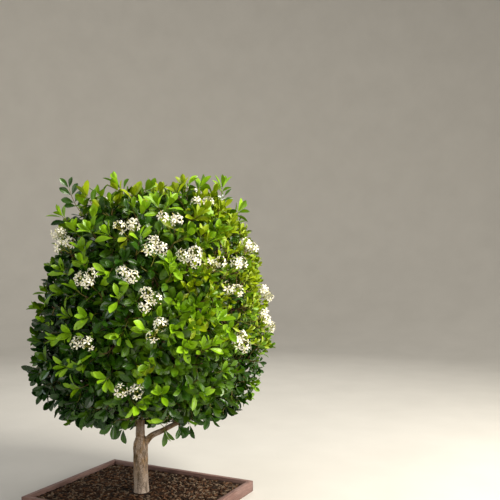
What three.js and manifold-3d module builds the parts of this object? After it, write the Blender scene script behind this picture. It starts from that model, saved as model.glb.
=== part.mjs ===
// A potted waxleaf privet: a globe of glossy leaves and white blossom on a short trunk, in a low wooden
// planter. Millimetres, +Z up. The origin is the centre of the planter's flat underside, with +X along its
// long side.
import * as THREE from "three";
import { mergeVertices } from "three/addons/utils/BufferGeometryUtils.js";
import Module from "manifold-3d";

const wasm = await Module();
wasm.setup();

// Driving dimensions
const CLEARANCE = 0.3;
const PLANTER = { length: 890, width: 720, height: 55, wall: 26, floor: 10, chamfer: 2.5 };
const SOIL_TOP = 37;
const TRUNK = { foot: 40.5, flareHeight: 45, middle: 36.5, top: 38, forkHeight: 306, leanX: -5, leanY: -3 };
const LEADER = { root: 24, tip: 9, topHeight: 1120 };
const CROWN = { x: 58, y: 29, z: 947, halfWidth: 590, halfHeight: 640, squareness: 2.7, widerBelow: 0.1 };
const CORE = { level: 0.79, ripple: 0.035, furrow: 9, inward: 130, sideways: 300 };
const LEAF = { length: 158, width: 74, thickness: 4, widest: 0.44, droop: 0.1, highest: 1.03 };
// How far each pair of leaves spreads from its twig's heading, in degrees, from the tip down
const PAIR_SPREADS = [36, 64];
const TWIG = {
  root: 8, tip: 3.8, sides: 3, level: 0.86, levelSpread: 0.03, turnSpread: 0.1,
  firstPair: 10, pairSpacing: 52,
};
// A shoot turns from its place on the globe towards the light: the outward and upward shares of its heading
const SHOOT = { outward: 0.75, upward: 0.45, proud: 0.2 };
const BLOSSOM = { width: 118, depth: 78, level: 0.95, highest: 1.12, lowestRise: -27 };

// Rings of foliage masses, from the bottom up: how many, their rise and first bearing from the crown's
// centre in degrees, and the stretch of the leader that their boughs leave it on, as fractions of its length
const RINGS = [
  { name: "low", count: 5, rise: -40, bearing: 24, forks: [0.08, 0.2] },
  { name: "middle", count: 6, rise: 0, bearing: -12, forks: [0.34, 0.58] },
  { name: "upper", count: 5, rise: 40, bearing: 12, forks: [0.66, 0.9] },
  { name: "top", count: 1, rise: 90, bearing: 0 },
];
const MASS_LEVEL = 0.62;
const BOUGH = { root: 13, tip: 7.5, reach: 0.6, depth: 18, sag: 0.1, sides: 6, steps: 5 };
// The low bough that shows under the crown: its bearing and how far out from the trunk it is at each height
const OPEN_BOUGH = {
  bearing: 24, root: 17, tip: 8.5, steps: 10,
  outward: [0, 27, 52, 102, 183, 258, 334],
  heights: [246, 283, 314, 339, 380, 410, 434],
};

// Blossom clusters as bearing and rise from the crown's centre in degrees
const BLOSSOM_PLACES = [
  [-111, 33], [-72, 41], [-47, 45], [-17, 56], [-56, 31], [-38, 27], [-25, 24], [-68, 19], [-88, 17],
  [-58, 8], [-17, 12], [-9, 24], [25, 9], [11, -2], [-55, -5], [-88, -11], [-13, -12], [-67, -29],
];
// Shoots that stand proud of the globe: bearing, rise and level, where the globe's surface is level 1
const PROUD_SHOOTS = [
  [-127, 58, 1.12], [-113, 70, 1.08], [-9, 73, 1.1], [13, 62, 1.11], [-137, -12, 1.07], [23, -17, 1.06],
  [112, 66, 1.09], [70, 22, 1.06], [160, 8, 1.07], [95, -20, 1.05], [178, 52, 1.08], [-60, -24, 1.05],
  [-95, 12, 1.05], [-20, -8, 1.05], [-140, -68, 1.03], [-48, -66, 1.03], [62, -66, 1.03], [150, -66, 1.03],
];
const TWIG_TIPS = 88;
// BLOSSOM_PLACES covers the cone of 60 degrees round this bearing, and spread blossom covers the rest
const COVERED = { bearing: -55, coneCosine: 0.5, spreadCount: 24, firstTurn: 40 };
const GOLDEN_TURN = 180 * (3 - Math.sqrt(5));

const COLOURS = {
  planter: 0x8a6455, soil: 0x2b1d16, bark: 0x8a7058, boughs: 0x7a624c,
  foliage: [0x2f5a26, 0x3a6a2a, 0x447431, 0x35602c],
};

// Repeatable random numbers from 0 to 1
function seededRandom(seed) {
  let state = seed;
  return () => {
    state = (Math.imul(state, 1664525) + 1013904223) >>> 0;
    return state / 2 ** 32;
  };
}

// Small vector helpers
const UP = new THREE.Vector3(0, 0, 1);
const CROWN_CENTRE = new THREE.Vector3(CROWN.x, CROWN.y, CROWN.z);

function directionOf(bearing, rise) {
  const turn = THREE.MathUtils.degToRad(bearing);
  const lift = THREE.MathUtils.degToRad(rise);
  return new THREE.Vector3(Math.cos(lift) * Math.cos(turn), Math.cos(lift) * Math.sin(turn), Math.sin(lift));
}

// The crown is a slightly boxy globe, wider below its middle: level 0 at its centre and 1 on its surface
function levelOf(point) {
  const away = point.clone().sub(CROWN_CENTRE);
  const rise = away.z / Math.max(away.length(), 1e-6);
  const outward = Math.hypot(away.x, away.y) / (CROWN.halfWidth * (1 - CROWN.widerBelow * rise));
  const upward = Math.abs(away.z) / CROWN.halfHeight;
  return (outward ** CROWN.squareness + upward ** CROWN.squareness) ** (1 / CROWN.squareness);
}

function crownPoint(direction, level) {
  const unit = levelOf(CROWN_CENTRE.clone().add(direction));
  return CROWN_CENTRE.clone().addScaledVector(direction, level / unit);
}

// Closed geometry to a solid and back
function solidOf(geometry) {
  const bare = geometry.clone();
  bare.deleteAttribute("normal");
  bare.deleteAttribute("uv");
  const merged = mergeVertices(bare, 1e-3);
  return new wasm.Manifold(new wasm.Mesh({
    numProp: 3,
    vertProperties: new Float32Array(merged.attributes.position.array),
    triVerts: new Uint32Array(merged.index.array),
  }));
}

function geometryOf(solid) {
  const mesh = solid.getMesh();
  const geometry = new THREE.BufferGeometry();
  geometry.setAttribute("position", new THREE.BufferAttribute(mesh.vertProperties, 3));
  geometry.setIndex(new THREE.BufferAttribute(mesh.triVerts, 1));
  geometry.computeVertexNormals();
  return geometry;
}

// The largest body of a fused solid, without loose scraps and sealed hollows
function mainBody(solid) {
  const bodies = solid.decompose();
  bodies.sort((a, b) => b.volume() - a.volume());
  return bodies[0];
}

// A limb: a cylinder bent along a curve, with its radius given at each fraction of the way
function limbGeometry(limb, extra = 0) {
  const geometry = new THREE.CylinderGeometry(1, 1, 1, limb.sides, limb.steps);
  const frames = limb.curve.computeFrenetFrames(limb.steps, false);
  const position = geometry.attributes.position;
  const point = new THREE.Vector3();
  for (let i = 0; i < position.count; i += 1) {
    const along = position.getY(i) + 0.5;
    const step = Math.round(along * limb.steps);
    const radius = limb.radiusAt(along) + extra;
    const side = frames.normals[step].clone().multiplyScalar(position.getX(i) * radius);
    side.addScaledVector(frames.binormals[step], -position.getZ(i) * radius);
    point.copy(limb.curve.getPointAt(along)).add(side);
    position.setXYZ(i, point.x, point.y, point.z);
  }
  return geometry;
}

function taperedLimb(name, curve, root, tip, sides, steps) {
  const radiusAt = (along) => THREE.MathUtils.lerp(root, tip, along);
  return { name, curve, radiusAt, sides, steps };
}

// The planter: a low wooden tray, open at the top
function planterSolid() {
  const { length, width, height, wall, floor, chamfer } = PLANTER;
  const outline = new THREE.Shape();
  outline.moveTo(-length / 2 + chamfer, -width / 2 + chamfer);
  outline.lineTo(length / 2 - chamfer, -width / 2 + chamfer);
  outline.lineTo(length / 2 - chamfer, width / 2 - chamfer);
  outline.lineTo(-length / 2 + chamfer, width / 2 - chamfer);
  outline.closePath();
  const block = new THREE.ExtrudeGeometry(outline, {
    depth: height - 2 * chamfer, bevelThickness: chamfer, bevelSize: chamfer, bevelSegments: 1,
  });
  block.translate(0, 0, chamfer);
  const hollow = new THREE.BoxGeometry(length - 2 * wall, width - 2 * wall, height);
  hollow.translate(0, 0, floor + height / 2);
  return solidOf(block).subtract(solidOf(hollow));
}

// The soil: fills the planter to just under its rim
function soilSolid() {
  const length = PLANTER.length - 2 * PLANTER.wall - 2 * CLEARANCE;
  const width = PLANTER.width - 2 * PLANTER.wall - 2 * CLEARANCE;
  const bottom = PLANTER.floor + CLEARANCE;
  const block = new THREE.BoxGeometry(length, width, SOIL_TOP - bottom);
  block.translate(0, 0, (SOIL_TOP + bottom) / 2);
  return solidOf(block);
}

// The trunk: flat on the soil, a little wider at its foot and under the fork, leaning a little
const TRUNK_FOOT = SOIL_TOP + CLEARANCE;

function trunkGeometry(extra = 0) {
  const rise = TRUNK.forkHeight - TRUNK_FOOT;
  const profile = [
    [TRUNK.foot, 0],
    [TRUNK.foot * 0.96, TRUNK.flareHeight * 0.3],
    [TRUNK.middle * 1.01, TRUNK.flareHeight],
    [TRUNK.middle, rise * 0.5],
    [TRUNK.top, rise * 0.83],
    [TRUNK.top * 0.9, rise * 0.92],
    [LEADER.root + 2, rise + extra],
  ];
  const points = profile.map(([radius, height]) => new THREE.Vector2(radius + extra, height));
  points.unshift(new THREE.Vector2(0, 0));
  points.push(new THREE.Vector2(0, rise + extra));
  const geometry = new THREE.LatheGeometry(points, 14);
  geometry.rotateX(Math.PI / 2);
  const position = geometry.attributes.position;
  for (let i = 0; i < position.count; i += 1) {
    const share = position.getZ(i) / rise;
    position.setX(i, position.getX(i) + TRUNK.leanX * share);
    position.setY(i, position.getY(i) + TRUNK.leanY * share);
    position.setZ(i, position.getZ(i) + TRUNK_FOOT);
  }
  return geometry;
}

// The leader: carries on from the trunk's top, a little to the left and then up the middle of the crown
const leaderCurve = new THREE.CatmullRomCurve3([
  new THREE.Vector3(TRUNK.leanX * 0.95, TRUNK.leanY * 0.95, TRUNK.forkHeight - 12),
  new THREE.Vector3(TRUNK.leanX + 1, TRUNK.leanY + 1, TRUNK.forkHeight + 120),
  new THREE.Vector3(CROWN.x * 0.4, CROWN.y * 0.4, CROWN.z - 200),
  new THREE.Vector3(CROWN.x * 0.9, CROWN.y * 0.9, LEADER.topHeight),
]);
const leader = taperedLimb("bough_leader", leaderCurve, LEADER.root, LEADER.tip, 9, 9);

// The open low bough leaves the trunk's shoulder and runs out under the crown
function openBoughCurve() {
  const turn = directionOf(OPEN_BOUGH.bearing, 0);
  const points = OPEN_BOUGH.outward.map((outward, i) => {
    const share = (OPEN_BOUGH.heights[i] - TRUNK_FOOT) / (TRUNK.forkHeight - TRUNK_FOOT);
    const lean = Math.min(share, 1);
    return new THREE.Vector3(TRUNK.leanX * lean + turn.x * outward, TRUNK.leanY * lean + turn.y * outward,
      OPEN_BOUGH.heights[i]);
  });
  return new THREE.CatmullRomCurve3(points);
}

// Masses of foliage, ring by ring
const masses = [];
for (const ring of RINGS) {
  for (let k = 0; k < ring.count; k += 1) {
    const bearing = ring.bearing + (360 * k) / ring.count;
    const centre = crownPoint(directionOf(bearing, ring.rise), MASS_LEVEL);
    const label = ring.count === 1 ? ring.name : `${ring.name}_${k + 1}`;
    const share = ((2 * k) % ring.count) / ring.count;
    const fork = ring.forks ? THREE.MathUtils.lerp(ring.forks[0], ring.forks[1], share) : 1;
    masses.push({ label, centre, fork, bough: leader, twigs: [], blades: [] });
  }
}

// A mass's own space lies inside the planes halfway to the other masses
function massOf(point) {
  return masses.reduce((best, mass) => (
    point.distanceTo(mass.centre) < point.distanceTo(best.centre) ? mass : best
  ));
}

function depthInSpace(mass, point) {
  let depth = Infinity;
  for (const other of masses) {
    if (other === mass) continue;
    const away = other.centre.clone().sub(mass.centre);
    const reach = away.length();
    const along = point.clone().sub(mass.centre).dot(away) / reach;
    depth = Math.min(depth, reach / 2 - along);
  }
  return depth;
}

// A bough leaves the leader, dips a little below the straight way and ends inside its mass's space
function boughCurve(mass) {
  const start = leaderCurve.getPointAt(mass.fork);
  let reach = BOUGH.reach;
  const end = start.clone().lerp(mass.centre, reach);
  while (depthInSpace(mass, end) < BOUGH.depth && reach < 0.95) {
    reach += 0.02;
    end.copy(start).lerp(mass.centre, reach);
  }
  const bend = start.clone().lerp(end, 0.5);
  const outward = end.clone().sub(start);
  bend.z -= outward.length() * BOUGH.sag;
  outward.z = 0;
  bend.addScaledVector(outward, BOUGH.sag);
  return new THREE.QuadraticBezierCurve3(start, bend, end);
}

function boughOf(mass) {
  const name = `bough_${mass.label}`;
  if (mass === masses[0]) {
    const { root, tip, steps } = OPEN_BOUGH;
    return taperedLimb(name, openBoughCurve(), root, tip, BOUGH.sides, steps);
  }
  const root = Math.min(BOUGH.root, leader.radiusAt(mass.fork) * 0.82);
  return taperedLimb(name, boughCurve(mass), root, BOUGH.tip, BOUGH.sides, BOUGH.steps);
}

const limbs = [leader];
for (const mass of masses) {
  if (mass.fork === 1) continue;
  mass.bough = boughOf(mass);
  limbs.push(mass.bough);
}

// Distance from a point to the skin of the nearest limb or the trunk
const LIMB_SAMPLES = 14;
for (const limb of limbs) {
  limb.samples = [];
  for (let i = 0; i <= LIMB_SAMPLES; i += 1) {
    const along = i / LIMB_SAMPLES;
    limb.samples.push({ point: limb.curve.getPointAt(along), radius: limb.radiusAt(along) });
  }
}
const trunkSamples = [0, 0.25, 0.5, 0.75, 1].map((share) => ({
  point: new THREE.Vector3(TRUNK.leanX * share, TRUNK.leanY * share,
    THREE.MathUtils.lerp(TRUNK_FOOT, TRUNK.forkHeight, share)),
  radius: TRUNK.middle,
}));
const limbChains = [...limbs.map((limb) => limb.samples), trunkSamples];

function distanceToLimbs(point) {
  let nearest = Infinity;
  const line = new THREE.Line3();
  const foot = new THREE.Vector3();
  for (const chain of limbChains) {
    for (let i = 1; i < chain.length; i += 1) {
      line.set(chain[i - 1].point, chain[i].point);
      line.closestPointToPoint(point, true, foot);
      const radius = Math.max(chain[i - 1].radius, chain[i].radius);
      nearest = Math.min(nearest, foot.distanceTo(point) - radius);
    }
  }
  return nearest;
}

function staysFree(mass, points, highestLevel, margin = 1) {
  return points.every((point) => (
    depthInSpace(mass, point) > margin && levelOf(point) < highestLevel && distanceToLimbs(point) > margin + 2
  ));
}

// The core: a faceted lump that fills its mass's space up to a furrow beside each neighbour
function coreSolid(mass) {
  const geometry = new THREE.IcosahedronGeometry(1, 1);
  const position = geometry.attributes.position;
  const inwards = CROWN_CENTRE.clone().sub(mass.centre).normalize();
  const point = new THREE.Vector3();
  for (let i = 0; i < position.count; i += 1) {
    const ray = new THREE.Vector3().fromBufferAttribute(position, i).normalize();
    const facing = Math.max(0, ray.dot(inwards));
    const level = CORE.level + CORE.ripple * Math.sin(9 * ray.x + 5 * ray.y) * Math.cos(7 * ray.z);
    let low = 0;
    let high = THREE.MathUtils.lerp(CORE.sideways, CORE.inward, facing);
    for (let tries = 0; tries < 16; tries += 1) {
      const middle = (low + high) / 2;
      point.copy(mass.centre).addScaledVector(ray, middle);
      const inside = levelOf(point) < level && depthInSpace(mass, point) > CORE.furrow;
      if (inside) low = middle;
      else high = middle;
    }
    point.copy(mass.centre).addScaledVector(ray, low);
    position.setXYZ(i, point.x, point.y, point.z);
  }
  return solidOf(geometry);
}

// The stem of a mass: carries on from its bough's tip to the middle of the core
function stemSolid(mass) {
  const end = mass.bough.curve.getPointAt(1);
  const heading = mass.bough.curve.getTangentAt(1);
  const start = end.clone().addScaledVector(heading, CLEARANCE);
  const bend = start.clone().addScaledVector(heading, start.distanceTo(mass.centre) * 0.4);
  const curve = new THREE.QuadraticBezierCurve3(start, bend, mass.centre);
  const tip = mass.bough.radiusAt(1);
  return solidOf(limbGeometry(taperedLimb("stem", curve, tip, tip * 0.7, BOUGH.sides, 3)));
}

// A leaf of eight faces from its root, along one direction, with its upper side turned to another
function leafCorners(root, along, facing, size) {
  const across = facing.clone().cross(along).normalize();
  const face = along.clone().cross(across).normalize();
  const length = LEAF.length * size;
  const middle = root.clone().addScaledVector(along, length * LEAF.widest);
  const tip = root.clone().addScaledVector(along, length).addScaledVector(face, -length * LEAF.droop);
  return {
    root, tip,
    left: middle.clone().addScaledVector(across, (LEAF.width * size) / 2),
    right: middle.clone().addScaledVector(across, (-LEAF.width * size) / 2),
    over: middle.clone().addScaledVector(face, LEAF.thickness / 2),
    under: middle.clone().addScaledVector(face, -LEAF.thickness / 2),
  };
}

function leafSolid(corners) {
  const geometry = new THREE.OctahedronGeometry(1);
  const position = geometry.attributes.position;
  for (let i = 0; i < position.count; i += 1) {
    const x = Math.round(position.getX(i));
    const y = Math.round(position.getY(i));
    let corner = position.getZ(i) > 0 ? corners.over : corners.under;
    if (x) corner = x > 0 ? corners.tip : corners.root;
    if (y) corner = y > 0 ? corners.left : corners.right;
    position.setXYZ(i, corner.x, corner.y, corner.z);
  }
  return solidOf(geometry);
}

// Blades, leaves and blossom alike, of one mass cross each other as little as they can
const LEAST_CROSSING = 2;

function crosses(mass, blade) {
  return mass.blades.some((other) => other.intersect(blade).volume() > LEAST_CROSSING);
}

// A leaf is turned a little if it doesn't fit, and skipped when no turn does
const LEAF_TURNS = [0, 22, -22, 44, -44, 66, -66];

function addLeaf(mass, root, along, facing, size, highestLevel) {
  for (const turn of LEAF_TURNS) {
    const turned = along.clone().applyAxisAngle(facing, THREE.MathUtils.degToRad(turn));
    const corners = leafCorners(root, turned, facing, size);
    if (staysFree(mass, [corners.tip, corners.left, corners.right], highestLevel)) {
      const blade = leafSolid(corners);
      if (!crosses(mass, blade)) {
        mass.blades.push(blade);
        return;
      }
    }
  }
}

// A straight three-sided twig
function twigSolid(start, end) {
  const curve = new THREE.LineCurve3(start, end);
  return solidOf(limbGeometry(taperedLimb("twig", curve, TWIG.root, TWIG.tip, TWIG.sides, 1)));
}

// A twig grows from its mass's stem towards the crown's surface and turns its leaves outwards and up
function addTwig(direction, endLevel, leafLevel, random) {
  const end = crownPoint(direction, endLevel);
  const mass = massOf(end);
  const start = mass.centre;
  if (!staysFree(mass, [end, start.clone().lerp(end, 0.8)], leafLevel, TWIG.root)) return;
  mass.twigs.push(twigSolid(start, end));
  const heading = end.clone().sub(start).normalize();
  const outward = direction.clone().multiplyScalar(SHOOT.outward);
  outward.addScaledVector(UP, SHOOT.upward).normalize();
  const sideways = Math.abs(outward.z) < 0.98 ? outward.clone().cross(UP) : new THREE.Vector3(1, 0, 0);
  sideways.normalize().applyAxisAngle(outward, random() * Math.PI);
  for (const pair of [0, 1]) {
    const spread = THREE.MathUtils.degToRad(PAIR_SPREADS[pair]);
    const root = end.clone().addScaledVector(heading, -TWIG.firstPair - pair * TWIG.pairSpacing);
    const axis = sideways.clone().applyAxisAngle(outward, (pair * Math.PI) / 2);
    for (const side of [1, -1]) {
      const arm = axis.clone().multiplyScalar(side);
      const along = outward.clone().multiplyScalar(Math.cos(spread)).addScaledVector(arm, Math.sin(spread));
      const facing = outward.clone().multiplyScalar(Math.sin(spread)).addScaledVector(arm, -Math.cos(spread));
      addLeaf(mass, root, along.normalize(), facing.normalize(), 0.9 + random() * 0.2, leafLevel);
    }
  }
}

// A blossom cluster: a faceted lump at the end of its own twig
function addBlossom(direction) {
  const centre = crownPoint(direction, BLOSSOM.level);
  const mass = massOf(centre);
  const geometry = new THREE.IcosahedronGeometry(1, 0);
  geometry.scale(BLOSSOM.width / 2, BLOSSOM.width / 2, BLOSSOM.depth / 2);
  geometry.applyQuaternion(new THREE.Quaternion().setFromUnitVectors(UP, direction));
  geometry.translate(centre.x, centre.y, centre.z);
  const position = geometry.attributes.position;
  const corners = [];
  for (let i = 0; i < position.count; i += 1) {
    corners.push(new THREE.Vector3().fromBufferAttribute(position, i));
  }
  if (!staysFree(mass, corners, BLOSSOM.highest)) return;
  mass.blades.push(solidOf(geometry));
  mass.twigs.push(twigSolid(mass.centre, centre));
}

// Directions spread evenly over the globe by the golden turn
function spreadDirections(count, firstTurn) {
  const directions = [];
  for (let k = 0; k < count; k += 1) {
    const height = 1 - (2 * k + 1) / count;
    directions.push(directionOf(firstTurn + k * GOLDEN_TURN, THREE.MathUtils.radToDeg(Math.asin(height))));
  }
  return directions;
}

function growFoliage() {
  const random = seededRandom(12);
  for (const [bearing, rise] of BLOSSOM_PLACES) addBlossom(directionOf(bearing, rise));
  const coveredSide = directionOf(COVERED.bearing, 0);
  const lowest = directionOf(0, BLOSSOM.lowestRise).z;
  for (const direction of spreadDirections(COVERED.spreadCount, COVERED.firstTurn)) {
    const covered = direction.dot(coveredSide) > COVERED.coneCosine;
    if (!covered && direction.z > lowest) addBlossom(direction);
  }
  for (const [bearing, rise, level] of PROUD_SHOOTS) {
    addTwig(directionOf(bearing, rise), level - SHOOT.proud, level + 0.01, random);
  }
  for (const direction of spreadDirections(TWIG_TIPS, 0)) {
    direction.x += (random() - 0.5) * TWIG.turnSpread;
    direction.y += (random() - 0.5) * TWIG.turnSpread;
    addTwig(direction.normalize(), TWIG.level + random() * TWIG.levelSpread, LEAF.highest, random);
  }
}

function foliageSolid(mass) {
  const grown = wasm.Manifold.union([coreSolid(mass), stemSolid(mass), ...mass.twigs, ...mass.blades]);
  const limbRoom = wasm.Manifold.union(limbs.map((limb) => solidOf(limbGeometry(limb, CLEARANCE))));
  return mainBody(grown.subtract(limbRoom));
}

// A bough is cut back to 0.3 mm from the trunk or leader that carries it
function boughSolid(limb) {
  const clearOfTrunk = solidOf(limbGeometry(limb)).subtract(solidOf(trunkGeometry(CLEARANCE)));
  if (limb === leader) return mainBody(clearOfTrunk);
  return mainBody(clearOfTrunk.subtract(solidOf(limbGeometry(leader, CLEARANCE))));
}

// The scene graph: one named mesh for each piece
const plant = new THREE.Group();

function addPiece(name, solid, colour, roughness) {
  const material = new THREE.MeshStandardMaterial({ color: colour, roughness, metalness: 0 });
  const mesh = new THREE.Mesh(geometryOf(solid), material);
  mesh.name = name;
  plant.add(mesh);
}

growFoliage();
addPiece("planter", planterSolid(), COLOURS.planter, 0.7);
addPiece("soil", soilSolid(), COLOURS.soil, 0.95);
addPiece("trunk", solidOf(trunkGeometry()), COLOURS.bark, 0.85);
for (const limb of limbs) addPiece(limb.name, boughSolid(limb), COLOURS.boughs, 0.85);
masses.forEach((mass, i) => {
  const colour = COLOURS.foliage[i % COLOURS.foliage.length];
  addPiece(`foliage_${mass.label}`, foliageSolid(mass), colour, 0.45);
});

export default plant;
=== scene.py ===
"""Looks of the potted waxleaf privet: bark, twigs, glossy leaves, white blossom, wooden planter and mulch.
Metres, +Z up, in the frame of the solids. The origin is the centre of the planter's flat underside."""

import math

import bpy
import numpy as np
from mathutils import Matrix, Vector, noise


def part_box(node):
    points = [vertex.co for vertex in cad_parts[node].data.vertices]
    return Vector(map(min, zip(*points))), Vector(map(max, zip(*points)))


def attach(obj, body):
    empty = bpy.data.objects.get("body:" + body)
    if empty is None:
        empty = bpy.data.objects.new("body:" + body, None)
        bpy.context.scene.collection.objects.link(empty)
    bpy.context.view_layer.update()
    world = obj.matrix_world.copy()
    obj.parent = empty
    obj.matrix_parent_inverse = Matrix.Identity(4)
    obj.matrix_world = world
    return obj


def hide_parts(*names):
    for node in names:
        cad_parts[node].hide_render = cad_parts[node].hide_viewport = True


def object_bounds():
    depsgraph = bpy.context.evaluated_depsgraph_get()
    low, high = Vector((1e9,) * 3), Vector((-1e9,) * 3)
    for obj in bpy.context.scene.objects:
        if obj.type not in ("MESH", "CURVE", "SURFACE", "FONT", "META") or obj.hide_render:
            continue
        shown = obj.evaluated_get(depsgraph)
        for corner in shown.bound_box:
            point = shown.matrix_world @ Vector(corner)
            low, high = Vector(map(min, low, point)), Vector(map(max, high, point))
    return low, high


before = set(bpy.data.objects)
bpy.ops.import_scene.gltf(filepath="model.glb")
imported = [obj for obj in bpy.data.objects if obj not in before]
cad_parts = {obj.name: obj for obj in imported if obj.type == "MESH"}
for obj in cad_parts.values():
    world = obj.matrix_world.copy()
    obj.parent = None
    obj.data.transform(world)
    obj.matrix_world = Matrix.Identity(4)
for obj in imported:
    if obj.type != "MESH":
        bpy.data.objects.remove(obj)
cad_low, cad_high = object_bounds()

# Sizes shared with the solids
TRUNK = {
    "foot": 0.0405, "flare_height": 0.045, "middle": 0.0365, "top": 0.038, "fork_height": 0.306,
    "above_soil": 0.0003,
}
TRUNK_LEAN = np.array([-0.005, -0.003])
SOIL_TOP = 0.037
# The leader's path: how far from the fork and the crown's centre it starts and bends, and its shares of the
# trunk's lean and of the crown's offset
LEADER = {
    "root": 0.024, "tip": 0.009, "top_height": 1.12, "below_fork": 0.012, "above_fork": 0.12,
    "below_centre": 0.2, "lean": 0.95, "lean_back": 0.001, "bend": 0.4, "top": 0.9,
}
CROWN = {"half_width": 0.59, "half_height": 0.64, "squareness": 2.7, "wider_below": 0.1}
CROWN_CENTRE = np.array([0.058, 0.029, 0.947])
RINGS = [
    {"name": "low", "count": 5, "rise": -40, "bearing": 24, "forks": (0.08, 0.2)},
    {"name": "middle", "count": 6, "rise": 0, "bearing": -12, "forks": (0.34, 0.58)},
    {"name": "upper", "count": 5, "rise": 40, "bearing": 12, "forks": (0.66, 0.9)},
    {"name": "top", "count": 1, "rise": 90, "bearing": 0, "forks": (1.0, 1.0)},
]
MASS_LEVEL = 0.62
BOUGH = {
    "root": 0.013, "tip": 0.0075, "reach": 0.6, "depth": 0.018, "sag": 0.1,
    "share_of_leader": 0.82, "stem_bend": 0.4,
}
OPEN_BOUGH = {
    "bearing": 24, "root": 0.017, "tip": 0.0085,
    "outward": (0, 0.027, 0.052, 0.102, 0.183, 0.258, 0.334),
    "heights": (0.246, 0.283, 0.314, 0.339, 0.38, 0.41, 0.434),
}
# The heading of a branch's tip: shares of the way outward and of the way up
SHOOT = {"outward": 0.75, "upward": 0.45}
# Blossom clusters as bearing and rise from the crown's centre in degrees
BLOSSOM_PLACES = [
    (-111, 33), (-72, 41), (-47, 45), (-17, 56), (-56, 31), (-38, 27), (-25, 24), (-68, 19), (-88, 17),
    (-58, 8), (-17, 12), (-9, 24), (25, 9), (11, -2), (-55, -5), (-88, -11), (-13, -12), (-67, -29),
]
BLOSSOM_SPREAD = {"bearing": -55, "cone_cosine": 0.5, "count": 24, "first_turn": 40, "lowest_rise": -27}
# Shoots that stand proud of the globe: bearing, rise and level, where the globe's surface is level 1
PROUD_SHOOTS = [
    (-127, 58, 1.12), (-113, 70, 1.08), (-9, 73, 1.1), (13, 62, 1.11), (-137, -12, 1.07), (23, -17, 1.06),
    (112, 66, 1.09), (70, 22, 1.06), (160, 8, 1.07), (95, -20, 1.05), (178, 52, 1.08), (-60, -24, 1.05),
    (-95, 12, 1.05), (-20, -8, 1.05), (-140, -68, 1.03), (-48, -66, 1.03), (62, -66, 1.03), (150, -66, 1.03),
]
GOLDEN_TURN = 180 * (3 - math.sqrt(5))

# Limbs: points along each, of which a bough takes the first and its mass's stem the rest
RINGS_ALONG = 60
BOUGH_RINGS = 40
# How far the trunk reaches into the soil, as a share of its rise, and a stem's tip as a share of its bough's
TRUNK_SUNK = 0.03
STEM_TAPER = 0.62
SKIN = {"sides": 20, "voxel": 0.0032, "swell": 0.0006, "smoothing": 6, "softness": 0.5}
# Bark relief as shares of the limb's radius, cracks as a share of the ridges, and the flare's lumps in metres
RELIEF = {"ridges": 0.03, "cracks": 0.5, "lumps": 0.06, "inset": 0.045, "roots": 0.003}
# Its patterns: how fine they are round the limb and along it, and how far they are shifted
BARK_PATTERNS = {"ridges": (2.4, 14, 0), "cracks": (6, 60, 0), "lumps": (1.1, 22, 40), "roots": (1.7, 0, 7)}
# The patterns start this much further on along each limb, so that no two limbs are alike
PATTERN_SHIFT = 3.0

# Finer growth than the solids show

# A full-sized leaf: its length, and the rest as shares. The first pair has only a share of the droop, and
# each next pair a step more.
LEAF = {
    "length": 0.082, "new_width": 0.38, "old_width": 0.44, "fold": 0.22, "petiole": 0.06,
    "droop": 0.1, "droop_start": 0.5, "droop_step": 0.3,
}
# Where rows of points lie along a leaf, as shares of its length
LEAF_STATIONS = np.array([0.09, 0.27, 0.46, 0.65, 0.83, 0.95])
# Chance in the leaves: ranges of size, spacing, length, width, droop and of how far old leaves sink, spreads
# of the angles in radians or for spread in degrees, and the share of leaves that grow
CHANCE = {
    "vigour": (0.88, 1.04), "back": (0.8, 1.25), "length": (0.88, 1.1), "width": (0.9, 1.12),
    "droop": (0.2, 2.0), "sink": (0.05, 0.3),
    "turn": 0.2, "spread": 7, "new_roll": 0.2, "old_roll": 0.35, "grown": 0.95,
}
# Room between leaves and limbs, and of leaves and tips to the box of the solids
ROOM = {"leaf_to_limb": 0.003, "leaf_in_box": 0.001, "tip_in_box": 0.006}
# How far leaves turn their upper side to the open, most on hanging shoots and sprigs, and how far up that is
TO_LIGHT = {"new": 0.55, "old": 0.35, "thin": 2.6, "upward": 0.6}
# The street side's flank has smaller leaves: towards this side, and by this share at most
FINE_SIDE = {"towards": (0.95, 0.25, 0.1), "least": 0.5, "full": 0.85, "shrink": 0.46}
# Twigs: branches from the masses' centres, and offshoots on them. Nothing grows from their first, bare share.
BRANCHES = {
    "count": 88, "level": 0.86, "spread": 0.03, "wobble": 0.05, "first_bend": 0.06, "last_bend": 0.3,
    "root": 0.0052, "tip": 0.0026, "steps": 12, "sides": 5, "bare": 0.15,
}
OFFSHOOTS = {
    "count": 320, "level": 0.8, "spread": 0.05, "first_turn": 60, "outward": 0.6, "wander": 0.2,
    "root": 0.0028, "tip": 0.0019, "steps": 9, "sides": 4, "bare": 0.2,
}
LEAFY_SHOOT = {"root": 0.0022, "tip": 0.0014, "steps": 10, "sides": 3}
# Where a twig grows from: reach costs more the more it turns, and points that are very near the tip or not
# well inside it cost extra
FOOTHOLD = {"reach": 1.5, "ahead": 0.5, "near": 0.05, "near_cost": 0.3, "inside": 0.04, "outside_cost": 0.5}
# Its two bends: how far each points ahead against its own heading, and its share of the reach
TWIG_BENDS = {"first": (1.5, 0.3), "last": (0.5, 0.36)}
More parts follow.
